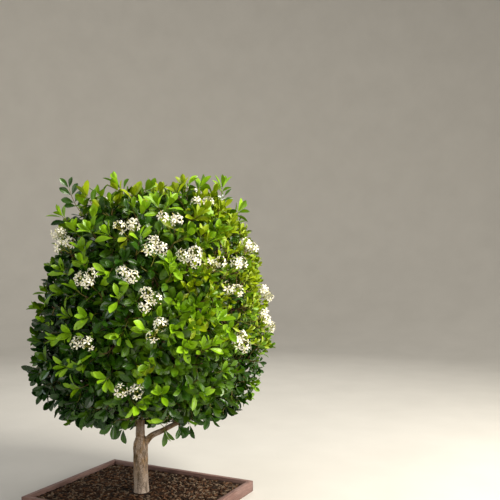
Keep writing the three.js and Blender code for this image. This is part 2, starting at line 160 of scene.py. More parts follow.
# Kinds of leafy shoot. Pairs of leaves run from the tip down: how far back they sit, how far they spread in
# degrees, and their share of a full-sized leaf. The first new_pairs of them are young, and across is how many
# points lie across a leaf.
ROSETTES = {
    "count": 470, "level": 0.92, "spread": 0.03, "first_turn": 15, "wobble": 0.035,
    "across": 5, "outward": 0.45, "wander": 0.12, "new_pairs": 3,
    "pairs": [(0.002, 20, 0.82), (0.008, 34, 1.0), (0.024, 50, 1.02), (0.05, 64, 0.96), (0.078, 78, 0.9)],
}
# More small rosettes on the fine side's flank
FINE = {
    "count": 1500, "level": 0.93, "spread": 0.035, "first_turn": 33, "wobble": 0.04, "lowest": -0.32,
    "across": 3, "outward": 0.45, "wander": 0.16, "new_pairs": 3,
    "pairs": [(0.002, 20, 0.82), (0.008, 34, 1.0), (0.022, 52, 1.0)],
}
# Mature shoots between the rosettes, and old ones inside
MATURE = {
    "count": 640, "level": 0.86, "spread": 0.05, "first_turn": 77, "wobble": 0.04,
    "across": 5, "outward": 0.62, "wander": 0.36, "new_pairs": 0,
    "pairs": [(0.003, 30, 0.8), (0.016, 52, 0.98), (0.040, 70, 1.0), (0.068, 82, 0.94)],
}
INNER = {
    "count": 440, "level": 0.64, "spread": 0.15, "first_turn": 140, "wobble": 0.04,
    "across": 3, "outward": 0.7, "wander": 0.3, "new_pairs": 0,
    "pairs": [(0.004, 45, 1.0), (0.022, 70, 1.1), (0.050, 82, 1.1), (0.080, 88, 1.0)],
}
# Old dark leaves that close the crown's lower half
SKIRT = {
    "count": 640, "level": 0.85, "spread": 0.06, "first_turn": 205, "wobble": 0.04, "highest": -0.12,
    "across": 3, "outward": 0.8, "wander": 0.3, "new_pairs": 0,
    "pairs": [(0.004, 40, 0.95), (0.022, 62, 1.05), (0.046, 78, 1.05)],
}
# Where the photo shows rosettes, in its pixels. The crown's right side and the rest follow a rule.
SEEN_ROSETTES = [
    (64, 272), (107, 273), (91, 231), (109, 235), (62, 216), (133, 209), (158, 206), (169, 205), (144, 212),
    (140, 236), (187, 236), (203, 217), (216, 232), (198, 209), (171, 264), (117, 183), (148, 189),
    (188, 181), (200, 187), (222, 188), (238, 212), (48, 320), (60, 338), (87, 318), (71, 334), (120, 336),
    (146, 330), (158, 318), (181, 312), (193, 313), (206, 316), (218, 320), (185, 348), (150, 364),
    (106, 379), (161, 394), (138, 405), (42, 362), (66, 367), (163, 422), (199, 393), (171, 273), (100, 196),
    (83, 205), (76, 232), (228, 330), (212, 345), (174, 330), (215, 262), (207, 243), (118, 298), (90, 352),
]
# How far rosettes by rule keep from those, and how large the leaves of those are
SEEN_SPACING = 0.075
SEEN_SIZE = 1.04
# How far below a proud shoot's level its own tip lies, since its leaves reach further
PROUD_LEAVES = 0.13
# Share of the rosettes by rule that grow: on the seen side away from the light, elsewhere by how far they
# face the light, and fewer low down
ROSETTE_SHARE = {
    "seen": 0.42, "facing": 0.25, "sunny": 0.45, "elsewhere": 0.6, "to_light": 0.4,
    "low": 0.8, "low_rise": 0.1, "hollow": 0.04,
}
# Shoots that hang below the crown's edge and from the open bough, and thin sprigs above the crown
SEEN_HANGING = [(84, 414), (98, 416), (114, 423), (123, 429), (165, 430), (180, 427), (190, 425), (210, 415)]
HANGING = {
    "across": 5, "outward": 1.0, "wander": 0.1, "new_pairs": 0, "open_side": (0.45, -0.88, -0.1),
    "pairs": [(0.002, 34, 0.92), (0.034, 62, 1.0)],
}
DOWN_TURN = 0.75
SEEN_SPRIG = [(84, 216), (77, 207), (72, 197), (69, 188)]
SPRIGS = {
    "across": 5, "new_pairs": 0, "open_side": (0.55, -0.8, 0.2),
    "pairs": [(0.002, 30, 0.82), (0.036, 40, 0.92), (0.074, 44, 0.95), (0.11, 52, 0.95)],
}
# Bearings of the sprigs on the hidden sides
SPRIG_BEARINGS = [75, 160]
# The level at which hanging shoots and sprigs are placed
SIGHT_LEVEL = 0.9
# How far below the arch's top a shoot's leaves may hang
HANG = {"plain": 0.02, "proud": 0.12}
# Hollows: pixel, radius in metres and depth as a share of the crown's reach
HOLLOWS = [
    ((78, 296), 0.13, 0.14), ((44, 292), 0.14, 0.12), ((128, 322), 0.08, 0.12), ((183, 283), 0.09, 0.12),
    ((219, 217), 0.08, 0.1), ((117, 358), 0.07, 0.12), ((217, 352), 0.08, 0.08), ((95, 395), 0.09, 0.05),
    ((165, 243), 0.06, 0.12), ((150, 300), 0.08, 0.13), ((100, 252), 0.08, 0.12),
]
# Where the crown swells beyond the globe, told in the same way, and soft dips all over
SWELLS = [((46, 390), 0.22, 0.09), ((52, 216), 0.1, 0.04)]
DIPS = {"scale": 2.6, "depth": 0.16, "least": -0.03, "most": 0.1}
# The level at which hollows and swells are placed
RELIEF_LEVEL = 0.95
# The lit street side, where the light comes from: sprays facing it take paler leaf tints, which is painted
# light, and more rosettes grow there
LIT_SIDE = (0.67, 0.26, 0.68)
# Painted bounce light: old leaves are paler where the crown faces the sunlit paving
PAVING_BOUNCE = {"towards": (0.45, -0.68, -0.58), "least": 0.55, "gain": 2.2}
# Each tint's darker and lighter colour, roughness and specular level, from the darkest tint to the palest.
# The tints stand partly for the leaves' own age and partly for painted light and shade, since sprays take
# them by how far they face the light.
TINTS = {
    "deep": ((15, 44, 7), (28, 60, 11), 0.23, 0.4),
    "dark": ((30, 64, 5), (48, 85, 9), 0.24, 0.42),
    "middle": ((51, 87, 4), (76, 110, 8), 0.3, 0.4),
    "fresh": ((82, 119, 4), (107, 142, 9), 0.36, 0.28),
    "bright": ((116, 140, 4), (143, 161, 12), 0.38, 0.28),
    "young": ((108, 150, 10), (134, 174, 26), 0.34, 0.34),
}
# How much light a spray needs for each next tint, chance in that light, and the share of new sprays that are
# young
TINT_STEPS = {"new": [-9, -1.25, -0.85, 0.52], "old": [-0.5, 0.35, 1.3], "mature": [-0.3, 0.55, 1.5]}
TINT_CHANCE = {"spray": 0.35, "old": 0.25}
YOUNG_SHARE = 0.06
# The open arch under the crown, round the trunk: it rises outwards, and more towards the street
ARCH = {"middle": 0.356, "slope": 0.1, "front_slope": 0.17, "front": (0.6, -0.8)}
# The fork, leader's foot and open bough stay in view: how far up, how far out, and the room at their sides
IN_VIEW = {"leader": 0.37, "bough": 0.5, "room": 0.008}
# Clusters of two or three balls, with the fewest flowers in a ball and one more than the most. Covered is how
# many radii down from a ball's top its flowers reach, and fork is how far its stalk leans to its side.
BLOSSOM = {
    "level": 0.96, "outward": 0.8, "upward": 0.45, "ball": 0.027, "apart": 0.03, "flower": 0.0185,
    "stalk": 0.062, "third_ball": 0.45, "flowers": (6, 9), "covered": 1.3, "fork": 0.5,
}
# Chance in the blossom: spreads of the balls' side, the flowers' rays and the petals' turn, and ranges of the
# balls' distance and set-back, the flowers' distance and size, the buds' length and the petals' rise
BLOSSOM_CHANCE = {
    "side": 0.5, "ray": 0.12, "petal_turn": 0.12,
    "apart": (0.85, 1.15), "back": (0, 0.012), "reach": (0.8, 1.15), "flower": (0.88, 1.1),
    "bud": (0.007, 0.011), "petal_rise": (-0.2, 0.3),
}
# No leaf lies this far behind, before or beside a cluster's heart
BLOSSOM_ROOM = {"behind": 0.03, "before": 0.13, "beside": 0.05}
BLOSSOM_SHOOTS = {
    "across": 5, "new_pairs": 2,
    "pairs": [(0.004, 62, 0.9), (0.03, 72, 1.0), (0.06, 82, 0.95)],
}
# The share of open flowers, radii of stalks and buds, the length of the closed heart behind a flower, how far
# below its spot a flower or a bud starts, how far a stalk sags for its length, and the sides of both as tubes
FLOWERS = {
    "petals": 5, "open": 0.85, "stalk": 0.0013, "fine_stalk": 0.0008, "bud": 0.0024, "heart": 0.005,
    "below": 0.002, "bud_below": 0.003, "sag": 0.06, "bud_sides": 5, "stalk_sides": 3,
}
# A petal from its root to its rounded tip: along, across and up, as shares of the flower's radius
PETAL_POINTS = np.array([
    (0.05, 0, -0.1), (0.48, 0.18, 0.03), (0.48, -0.18, 0.03),
    (0.84, 0.22, 0.0), (0.84, -0.22, 0.0), (1.03, 0, -0.07),
])
PETAL_FACES = [(0, 2, 1), (1, 2, 4), (1, 4, 3), (3, 4, 5)]

# The planter's boards, and the mulch on the soil

# A board's corners are cut by the chamfer, and rounded by two more points at a share of it, pulled inwards
BOARD = {"thickness": 0.026, "chamfer": 0.0028, "rounding": 0.35, "pull": 0.3, "seam": 0.0007, "step": 0.012}
# How fine and how deep a board's long and short waves of wear are, and the least wear
WEAR = {"long": 5, "long_depth": 0.0007, "short": 21, "short_depth": 0.0003, "across": 30, "least": 0.0001}
FLOOR = {"thickness": 0.01, "steps": 40}
MULCH = {
    "cell": 0.009, "low": 0.002, "heap": 0.006, "heap_radius": 0.09,
    "bumps": 0.004, "coarse": 26, "fine": 70, "fine_share": 0.6,
}
# Chips: how far they keep from the trunk and the boards, and the ranges of their sizes, bend and height
CHIPS = {
    "count": 2600, "from_trunk": 0.05, "from_boards": 0.012, "tilt": 0.28, "narrower": 0.35,
    "half_length": (0.005, 0.014), "half_width": (0.002, 0.006), "half_thickness": (0.0008, 0.002),
    "bend": (-0.15, 0.25), "lift": (0.0005, 0.0045),
}
# Darker and lighter colour of the soil and of three kinds of chip
MULCH_COLOURS = {
    "soil": ((20, 12, 7), (46, 32, 22)),
    "chip_dark": ((32, 19, 12), (64, 42, 28)),
    "chip_brown": ((58, 38, 25), (100, 70, 48)),
    "chip_grey": ((74, 60, 48), (122, 104, 86)),
}

# Studio: a floor that curves up into a backdrop all round, with the radii of its flat rings, the colour of
# the air, and lights as place, target, diameter, power and colour
STUDIO = {"flat": (1.0, 3.0, 6.0), "curve": 3.0, "curve_steps": 16, "wall": 7.0, "sides": 96}
AIR = {"colour": (1.0, 0.965, 0.89, 1.0), "strength": 0.39}
LIGHTS = {
    "key": ((3.9, 0.1, 4.1), CROWN_CENTRE, 2.4, 400, (1.0, 0.95, 0.84)),
    "side": ((4.6, 1.2, 1.3), (0.0, 0.0, 0.5), 1.6, 150, (1.0, 0.95, 0.86)),
    "fill": ((1.1, -4.4, 0.8), CROWN_CENTRE, 3.0, 76, (1.0, 0.97, 0.88)),
    "sky": ((-3.2, -2.6, 3.8), CROWN_CENTRE, 2.0, 40, (0.8, 0.9, 1.0)),
    "back": ((-1.8, 3.8, 4.2), CROWN_CENTRE, 2.6, 90, (1.0, 0.98, 0.92)),
}
# Where the picture is taken from: the eye, its turn to the left and tilt up in degrees, lens and sensor in
# millimetres, and the photo's width in pixels. Sights into the crown are followed from near to far.
VIEW = {
    "eye": (2.0311, -2.8569, 1.170), "turn": 26.5, "tilt": 1.249, "lens": 49.54, "sensor": 36, "pixels": 500,
    "near": 2.2, "far": 4.6, "step": 0.002,
}


# Vectors
UP = np.array([0.0, 0.0, 1.0])


def unit(vectors):
    vectors = np.asarray(vectors, float)
    return vectors / np.maximum(np.linalg.norm(vectors, axis=-1, keepdims=True), 1e-12)


def direction_of(bearing, rise):
    turn, lift = math.radians(bearing), math.radians(rise)
    return np.array([math.cos(lift) * math.cos(turn), math.cos(lift) * math.sin(turn), math.sin(lift)])


def level_of(points):
    """0 at the crown's centre and 1 on its surface, a slightly boxy globe that is wider below its middle."""
    away = np.asarray(points) - CROWN_CENTRE
    rise = away[..., 2] / np.maximum(np.linalg.norm(away, axis=-1), 1e-9)
    outward = np.hypot(away[..., 0], away[..., 1]) / (CROWN["half_width"] * (1 - CROWN["wider_below"] * rise))
    upward = np.abs(away[..., 2]) / CROWN["half_height"]
    power = CROWN["squareness"]
    return (outward ** power + upward ** power) ** (1 / power)


def crown_point(directions, levels):
    """Points at these levels, in these directions from the crown's centre."""
    reach = levels / level_of(CROWN_CENTRE + directions)
    return CROWN_CENTRE + directions * np.asarray(reach)[..., None]


def spread_directions(count, first_turn):
    """Directions spread evenly over the globe by the golden turn."""
    return np.array([
        direction_of(first_turn + k * GOLDEN_TURN, math.degrees(math.asin(1 - (2 * k + 1) / count)))
        for k in range(count)
    ])


def turned(vectors, axes, angles):
    """Vectors turned about unit axes by angles in radians."""
    cosine, sine = np.cos(angles)[..., None], np.sin(angles)[..., None]
    along = np.sum(vectors * axes, axis=-1, keepdims=True) * axes
    return vectors * cosine + np.cross(axes, vectors) * sine + along * (1 - cosine)


def any_side(axes):
    """A unit vector at right angles to each axis."""
    helpers = np.eye(3)[np.argmin(np.abs(axes), axis=-1)]
    return unit(np.cross(axes, helpers))


# Paths. A curve is worked out at this many places before its points are spaced evenly.
CURVE_STEPS = 24


def lengths_along(path):
    """How far along the path each of its points lies."""
    return np.concatenate([[0], np.cumsum(np.linalg.norm(np.diff(path, axis=0), axis=1))])


def resample(path, count):
    along = lengths_along(path)
    wanted = np.linspace(0, along[-1], count)
    return np.column_stack([np.interp(wanted, along, path[:, k]) for k in range(3)])


def catmull_rom(points, count):
    """Centripetal Catmull-Rom curve through the points, evenly spaced."""
    points = np.asarray(points, float)
    ends = np.vstack([2 * points[0] - points[1], points, 2 * points[-1] - points[-2]])
    pieces = []
    for a, b, c, d in zip(ends, ends[1:], ends[2:], ends[3:]):
        gaps = np.linalg.norm(np.diff([a, b, c, d], axis=0), axis=1) ** 0.5
        knots = np.concatenate([[0], np.cumsum(gaps)])
        t = np.linspace(knots[1], knots[2], CURVE_STEPS)[:, None]

        def between(start, end, first, last):
            return (start * (knots[last] - t) + end * (t - knots[first])) / (knots[last] - knots[first])

        early, middle, late = between(a, b, 0, 1), between(b, c, 1, 2), between(c, d, 2, 3)
        pieces.append(between(between(early, middle, 0, 2), between(middle, late, 1, 3), 1, 2))
    return resample(np.vstack(pieces), count)


def bezier(corners, count):
    """Bezier curve of three or four corners, evenly spaced."""
    t = np.linspace(0, 1, CURVE_STEPS)[:, None]
    layer = [np.asarray(corner, float) for corner in corners]
    while len(layer) > 1:
        layer = [a * (1 - t) + b * t for a, b in zip(layer, layer[1:])]
    return resample(layer[0], count)


def along_paths(paths, shares):
    """Points and headings at a share of the way along each evenly spaced path."""
    last = paths.shape[1] - 1
    place = np.clip(shares, 0, 1) * last
    step = np.minimum(place.astype(int), last - 1)
    rows = np.arange(len(paths))
    start, end = paths[rows, step], paths[rows, step + 1]
    return start + (end - start) * (place - step)[:, None], unit(end - start)


def frames_along(paths):
    """Tangent and two sides at each point of many paths. The sides keep their turn along a path."""
    tangents = unit(np.gradient(paths, axis=1))
    helpers = np.eye(3)[np.argmin(np.abs(tangents).max(axis=1), axis=-1)]
    sides = unit(np.cross(helpers[:, None], tangents))
    return tangents, sides, np.cross(tangents, sides)


# Meshes as (points, triangles)
def joined(parts):
    points, triangles, start = [], [], 0
    for part_points, part_triangles in parts:
        points.append(part_points)
        triangles.append(part_triangles + start)
        start += len(part_points)
    return np.vstack(points), np.vstack(triangles)


def copies(points, faces):
    """One mesh of many copies: their points as (copy, point, 3), and the faces of one copy."""
    shifts = np.arange(len(points)) * points.shape[1]
    triangles = np.asarray(faces) + shifts[:, None, None]
    return points.reshape(-1, 3), triangles.reshape(-1, 3)


def as_triangles(*numbers):
    """Arrays of point numbers, one for each corner, as rows of triangles."""
    return np.stack(numbers, axis=-1).reshape(-1, 3)


def tube_faces(count, rings, sides):
    """Triangles of closed tubes. Their points run round each ring, ring by ring and tube by tube."""
    index = np.arange(count * rings * sides).reshape(count, rings, sides)
    a, c = index[:, :-1], index[:, 1:]
    b, d = np.roll(a, -1, axis=2), np.roll(c, -1, axis=2)
    faces = [as_triangles(a, b, d), as_triangles(a, d, c)]
    for k in range(1, sides - 1):
        faces.append(as_triangles(index[:, 0, 0], index[:, 0, k + 1], index[:, 0, k]))
        faces.append(as_triangles(index[:, -1, 0], index[:, -1, k], index[:, -1, k + 1]))
    return np.vstack(faces)


def tubes(paths, radii, sides):
    """Closed tubes along many paths with the same number of points."""
    _, across, over = frames_along(paths)
    angles = 2 * math.pi * np.arange(sides) / sides
    ring = across[:, :, None] * np.cos(angles)[:, None] + over[:, :, None] * np.sin(angles)[:, None]
    points = paths[:, :, None] + ring * radii[:, :, None, None]
    return points.reshape(-1, 3), tube_faces(*paths.shape[:2], sides)


def tapered_tubes(paths, kind):
    """Tubes whose radius goes evenly from root to tip."""
    taper = np.linspace(kind["root"], kind["tip"], paths.shape[1])
    return tubes(paths, np.broadcast_to(taper, paths.shape[:2]), kind["sides"])


def add_mesh(name, mesh, materials, face_materials=None, smooth=True):
    points, triangles = mesh
    data = bpy.data.meshes.new(name)
    data.vertices.add(len(points))
    data.vertices.foreach_set("co", np.asarray(points, np.float32).ravel())
    data.loops.add(triangles.size)
    data.loops.foreach_set("vertex_index", np.asarray(triangles, np.int32).ravel())
    data.polygons.add(len(triangles))
    data.polygons.foreach_set("loop_start", np.arange(len(triangles), dtype=np.int32) * 3)
    data.polygons.foreach_set("use_smooth", np.full(len(triangles), smooth))
    for material in materials:
        data.materials.append(material)
    if face_materials is not None:
        data.polygons.foreach_set("material_index", np.asarray(face_materials, np.int32))
    data.update(calc_edges=True)
    data.validate()
    piece = bpy.data.objects.new(name, data)
    bpy.context.collection.objects.link(piece)
    return piece


def keep_places(data, name, places):
    """Keeps a place for each point of a mesh, which its material reads."""
    attribute = data.attributes.new(name, "FLOAT_VECTOR", "POINT")
    attribute.data.foreach_set("vector", np.asarray(places, np.float32).ravel())


def finish_piece(piece, nodes):
    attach(piece, "root")
    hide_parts(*nodes)


# Materials
def srgb(red, green, blue):
    """A colour of 0 to 255 as Blender's linear colour."""
    shares = [channel / 255 for channel in (red, green, blue)]
    return (*[s / 12.92 if s <= 0.04045 else ((s + 0.055) / 1.055) ** 2.4 for s in shares], 1.0)


class Look:
    """A material with one Principled shader and the few patterns used here."""

    def __init__(self, name, roughness, specular):
        self.material = bpy.data.materials.new(name)
        self.material.use_nodes = True
        self.tree = self.material.node_tree
        self.shader = self.tree.nodes["Principled BSDF"]
        self.feed(self.shader, {"Roughness": roughness, "Specular IOR Level": specular})

    def feed(self, node, inputs):
        """Sets each input of a node to its value, or links it to another node's output."""
        for name, value in inputs.items():
            if isinstance(value, bpy.types.NodeSocket):
                self.tree.links.new(value, node.inputs[name])
            else:
                node.inputs[name].default_value = value
        return node

    def new(self, kind, **inputs):
        return self.feed(self.tree.nodes.new(f"ShaderNode{kind}"), inputs)

    def place(self, attribute=None, stretch=(1, 1, 1)):
        """Coordinates: the object's own, or those kept in an attribute, stretched."""
        if attribute:
            source = self.new("Attribute")
            source.attribute_name = attribute
            vector = source.outputs["Vector"]
        else:
            vector = self.new("TexCoord").outputs["Object"]
        return self.new("Mapping", Vector=vector, Scale=stretch).outputs["Vector"]

    def height(self, place):
        """The third coordinate of a place, as a value."""
        return self.new("SeparateXYZ", Vector=place).outputs["Z"]

    def noise(self, place, scale, detail, roughness=0.55, distortion=0.0):
        """An uneven pattern: a higher scale makes it finer, and detail adds still finer steps."""
        node = self.new("TexNoise", Vector=place, Scale=scale, Detail=detail, Roughness=roughness,
                        Distortion=distortion)
        return node.outputs["Fac"]

    def ramp(self, value, stops):
        """Colours of 0 to 255, or grey values of 0 to 1, by value: stops are (position, colour) pairs."""
        node = self.new("ValToRGB", Fac=value)
        elements = node.color_ramp.elements
        while len(elements) < len(stops):
            elements.new(0.5)
        for element, (position, colour) in zip(elements, stops):
            element.position = position
            element.color = srgb(*colour) if isinstance(colour, tuple) else (colour, colour, colour, 1.0)
        return node.outputs["Color"]

    def mix(self, share, first, second):
        node = self.new("Mix")
        node.data_type = "RGBA"
        return self.feed(node, {"Factor": share, "A": first, "B": second}).outputs["Result"]

    def colour(self, value):
        self.feed(self.shader, {"Base Color": value})

    def shine(self, value, low, high):
        """Roughness between low and high by value."""
        self.feed(self.shader, {"Roughness": self.ramp(value, [(0.3, low), (0.7, high)])})

    def bump(self, height, depth, strength):
        node = self.new("Bump", Height=height, Distance=depth, Strength=strength)
        self.feed(self.shader, {"Normal": node.outputs["Normal"]})


def plain_look(name, finish, tone, stops, relief=None):
    """Colours by one noise, and a fine bump. Finish is roughness and specular level, tone is the noise's
    scale and detail, and relief is the bump's scale, detail, depth and strength."""
    look = Look(name, *finish)
    place = look.place()
    look.colour(look.ramp(look.noise(place, *tone), stops))
    if relief:
        scale, detail, depth, strength = relief
        look.bump(look.noise(place, scale, detail), depth, strength)
    return look


def leaf_material(tint):
    dark, light, roughness, specular = TINTS[tint]
    stops = [(0.36, dark), (0.64, light)]
    look = plain_look(f"leaf_{tint}", (roughness, specular), (16, 3), stops, (260, 3, 0.0008, 0.5))
    look.shine(look.noise(look.place(), 45, 2), roughness - 0.04, roughness + 0.1)
    return look.material


def blossom_material(name, dark, light, roughness):
    stops = [(0.35, dark), (0.65, light)]
    return plain_look(name, (roughness, 0.3), (60, 2), stops, (700, 2, 0.0004, 0.4)).material


def bark_material():
    """Tan bark with streaks along the limb and dark stains, grey at the foot; from the fork up it turns
    darker brown, partly browner young bark and partly painted shade from the crown above.
    """
    look = Look("bark", 0.85, 0.2)
    round_place = look.place("limb_place", (1, 1, 0.6))
    long_place = look.place("limb_place", (1, 1, 0.3))
    height = look.height(look.place())
    streaks = look.noise(long_place, 110, 5, 0.62, 0.8)
    fine = look.noise(round_place, 380, 4, 0.65)
    bark = look.ramp(streaks, [(0.34, (66, 52, 34)), (0.5, (124, 99, 71)), (0.68, (168, 140, 108))])
    grey = look.ramp(fine, [(0.34, (110, 95, 84)), (0.66, (202, 185, 171))])
    patches = look.ramp(look.noise(round_place, 46, 4, 0.6), [(0.44, 0.0), (0.6, 0.8)])
    foot = look.ramp(height, [(0.09, 0.85), (0.2, 0.0)])
    stains = look.ramp(look.noise(long_place, 34, 4, 0.6, 0.5), [(0.52, 0.0), (0.66, 0.75)])
    mottled = look.mix(foot, look.mix(patches, bark, grey), grey)
    stained = look.mix(stains, mottled, srgb(64, 52, 34))
    # Painted shade: the bark turns darker brown from about the fork up. This is partly browner young bark and
    # partly the crown's shade painted on.
    upper = look.ramp(height, [(0.3, 0.0), (0.4, 0.6)])
    look.colour(look.mix(upper, stained, srgb(74, 56, 36)))
    look.bump(look.mix(0.5, streaks, fine), 0.0024, 0.9)
    return look.material


def twig_material():
    """Dark reddish brown twigs that turn tan in places."""
    stops = [(0.35, (48, 32, 20)), (0.52, (84, 60, 40)), (0.7, (124, 98, 66))]
    return plain_look("twig_bark", (0.7, 0.3), (22, 4), stops, (420, 3, 0.0005, 0.6)).material


def shoot_material():
    """Young shoots: green and tan."""
    stops = [(0.35, (96, 68, 38)), (0.5, (114, 102, 46)), (0.68, (126, 132, 46))]
    return plain_look("shoot_bark", (0.55, 0.35), (14, 3), stops, (420, 2, 0.0004, 0.5)).material


def wood_material():
    """Stained boards: pinkish brown, grain along each board, paler and rougher where worn."""
    look = Look("planter_wood", 0.72, 0.3)
    grain_place = look.place("board_place", (0.06, 1, 1))
    grain = look.noise(grain_place, 150, 6, 0.62, 0.6)
    fibres = look.noise(grain_place, 620, 3, 0.5)
    weather = look.noise(look.place("board_place", (0.4, 1, 1)), 9, 4)
    stain = look.ramp(grain, [(0.3, (70, 49, 45)), (0.5, (108, 79, 72)), (0.72, (133, 103, 95))])
    worn = look.ramp(fibres, [(0.3, (118, 94, 88)), (0.7, (155, 134, 127))])
    look.colour(look.mix(look.ramp(weather, [(0.45, 0.08), (0.7, 0.55)]), stain, worn))
    look.shine(weather, 0.62, 0.85)
    look.bump(look.mix(0.5, grain, fibres), 0.0012, 0.7)
    return look.material


def mulch_material(name):
    dark, light = MULCH_COLOURS[name]
    stops = [(0.3, dark), (0.7, light)]
    return plain_look(name, (0.95, 0.15), (120, 5), stops, (400, 4, 0.002, 0.9)).material


def floor_material():
    stops = [(0.3, (192, 189, 184)), (0.7, (197, 194, 189))]
    return plain_look("studio_floor", (0.9, 0.2), (2.5, 3), stops).material


# The masses of foliage and the limbs, by the rule of the solids
class Mass:
    def __init__(self, label, centre, fork):
        self.label, self.centre, self.fork = label, centre, fork
        self.stem_heading = UP


def make_masses():
    masses = []
    for ring in RINGS:
        for k in range(ring["count"]):
            direction = direction_of(ring["bearing"] + 360 * k / ring["count"], ring["rise"])
            share = (2 * k) % ring["count"] / ring["count"]
            low, high = ring["forks"]
            label = ring["name"] if ring["count"] == 1 else f"{ring['name']}_{k + 1}"
            masses.append(Mass(label, crown_point(direction, MASS_LEVEL), low + (high - low) * share))
    return masses


masses = make_masses()
mass_centres = np.array([mass.centre for mass in masses])


def mass_of(point):
    return masses[int(np.argmin(np.linalg.norm(mass_centres - point, axis=1)))]


def depth_in_space(mass, point):
    """How far inside its own space a point lies: the planes halfway to the other masses bound it."""
    away = np.array([other.centre for other in masses if other is not mass]) - mass.centre
    reach = np.linalg.norm(away, axis=1)
    return float(np.min(reach / 2 - (away @ (point - mass.centre)) / reach))


trunk_foot = SOIL_TOP + TRUNK["above_soil"]
trunk_rise = TRUNK["fork_height"] - trunk_foot


def trunk_axis(height):
    """The trunk's axis at a height; it leans a little up to the fork."""
    share = min((height - trunk_foot) / trunk_rise, 1)
    return np.array([*(TRUNK_LEAN * share), height])


def trunk_path():
    """Path and radii of the trunk, from just inside the soil to the fork."""
    shares = np.linspace(-TRUNK_SUNK, 1, RINGS_ALONG)
    flare = TRUNK["flare_height"] / trunk_rise
    profile = [
        (0, TRUNK["foot"]), (flare * 0.3, TRUNK["foot"] * 0.96), (flare, TRUNK["middle"] * 1.01),
        (0.5, TRUNK["middle"]), (0.83, TRUNK["top"]), (0.92, TRUNK["top"] * 0.9), (1, LEADER["root"] + 0.002),
    ]
    path = np.array([trunk_axis(trunk_foot + share * trunk_rise) for share in shares])
    return path, np.interp(shares, *zip(*profile))


def leader_curve(count):
    """The leader rises from just under the fork and bends over to the crown's axis."""
    fork = TRUNK["fork_height"]
    points = [
        (*(TRUNK_LEAN * LEADER["lean"]), fork - LEADER["below_fork"]),
        (*(TRUNK_LEAN + LEADER["lean_back"]), fork + LEADER["above_fork"]),
        (*(CROWN_CENTRE[:2] * LEADER["bend"]), CROWN_CENTRE[2] - LEADER["below_centre"]),
        (*(CROWN_CENTRE[:2] * LEADER["top"]), LEADER["top_height"]),
    ]
    return catmull_rom(points, count)


def open_bough_curve(count):
    heading = direction_of(OPEN_BOUGH["bearing"], 0)
    points = [
        trunk_axis(height) + heading * outward
        for outward, height in zip(OPEN_BOUGH["outward"], OPEN_BOUGH["heights"])
    ]
    return catmull_rom(points, count)


def bough_curve(mass, leader, count):
    """A bough leaves the leader, dips a little and ends well inside its mass's space."""
    start = along_paths(leader[None], np.array([mass.fork]))[0][0]
    reach = BOUGH["reach"]
    while depth_in_space(mass, start + (mass.centre - start) * reach) < BOUGH["depth"] and reach < 0.95:
        reach += 0.02
    outward = (mass.centre - start) * reach
    bend = start + outward / 2 - UP * np.linalg.norm(outward) * BOUGH["sag"]
    bend[:2] += outward[:2] * BOUGH["sag"]
    return bezier([start, bend, start + outward], count)


def stem_curve(bough, centre, count):
    """A mass's stem carries on from its bough's tip to the mass's centre."""
    heading = unit(bough[-1] - bough[-2])
    bend = bough[-1] + heading * np.linalg.norm(centre - bough[-1]) * BOUGH["stem_bend"]
    return bezier([bough[-1], bend, centre], count)


def make_limbs():
    """Paths and radii of all limbs: trunk, leader, boughs with their masses' stems, and the top's stem."""
    leader = leader_curve(RINGS_ALONG)
    leader_radii = np.linspace(LEADER["root"], LEADER["tip"], RINGS_ALONG)
    limbs = [trunk_path(), (leader, leader_radii)]
    for mass in masses:
        if mass.fork == 1:
            bough, tip = leader, LEADER["tip"]
        elif mass.label == "low_1":
            bough, root, tip = open_bough_curve(BOUGH_RINGS), OPEN_BOUGH["root"], OPEN_BOUGH["tip"]
        else:
            leader_radius = np.interp(mass.fork, [0, 1], [LEADER["root"], LEADER["tip"]])
            root, tip = min(BOUGH["root"], leader_radius * BOUGH["share_of_leader"]), BOUGH["tip"]
            bough = bough_curve(mass, leader, BOUGH_RINGS)
        stem = stem_curve(bough, mass.centre, RINGS_ALONG - BOUGH_RINGS)
        mass.stem_heading = unit(stem[-1] - stem[-2])
        stem_tip = tip * STEM_TAPER
        if mass.fork == 1:
            limbs.append((resample(stem, RINGS_ALONG), np.linspace(tip, stem_tip, RINGS_ALONG)))
        else:
            radii = [np.linspace(root, tip, len(bough)), np.linspace(tip, stem_tip, len(stem))]
            limbs.append((np.vstack([bough, stem]), np.concatenate(radii)))
    paths, radii = zip(*limbs)
    return np.array(paths), np.array(radii)


limb_paths, limb_radii = make_limbs()


def limbs_in_view():
    """Points on the leader and the open bough that the picture shows, and the room that each needs."""
    leader, bough = limb_paths[1], limb_paths[2]
    low = leader[:, 2] < IN_VIEW["leader"]
    near = np.arange(RINGS_ALONG) < BOUGH_RINGS * IN_VIEW["bough"]
    radii = np.concatenate([limb_radii[1, low], limb_radii[2, near]])
    return np.vstack([leader[low], bough[near]]), radii + IN_VIEW["room"]


view_points, view_room = limbs_in_view()


def hides_limbs(points):
    """True for points between the eye and the limbs that stay in view."""
    sights = view_points - VIEW["eye"]
    reach = np.linalg.norm(sights, axis=1)
    away = points - VIEW["eye"]
    along = away @ (sights / reach[:, None]).T
    beside = np.sqrt(np.maximum(np.sum(away ** 2, axis=1)[:, None] - along ** 2, 0))
    return np.any((beside < view_room) & (along < reach), axis=1)


def nearest_limb(points, at_once=1000):
    """For each point: the number of the limbs' nearest point, and the distance to the skin there."""
    nearest, gaps = np.empty(len(points), int), np.empty(len(points))
    for first in range(0, len(points), at_once):
        chunk = slice(first, first + at_once)
        away = np.linalg.norm(points[chunk, None] - limb_paths.reshape(-1, 3), axis=2) - limb_radii.ravel()
        nearest[chunk], gaps[chunk] = away.argmin(axis=1), away.min(axis=1)
    return nearest, gaps


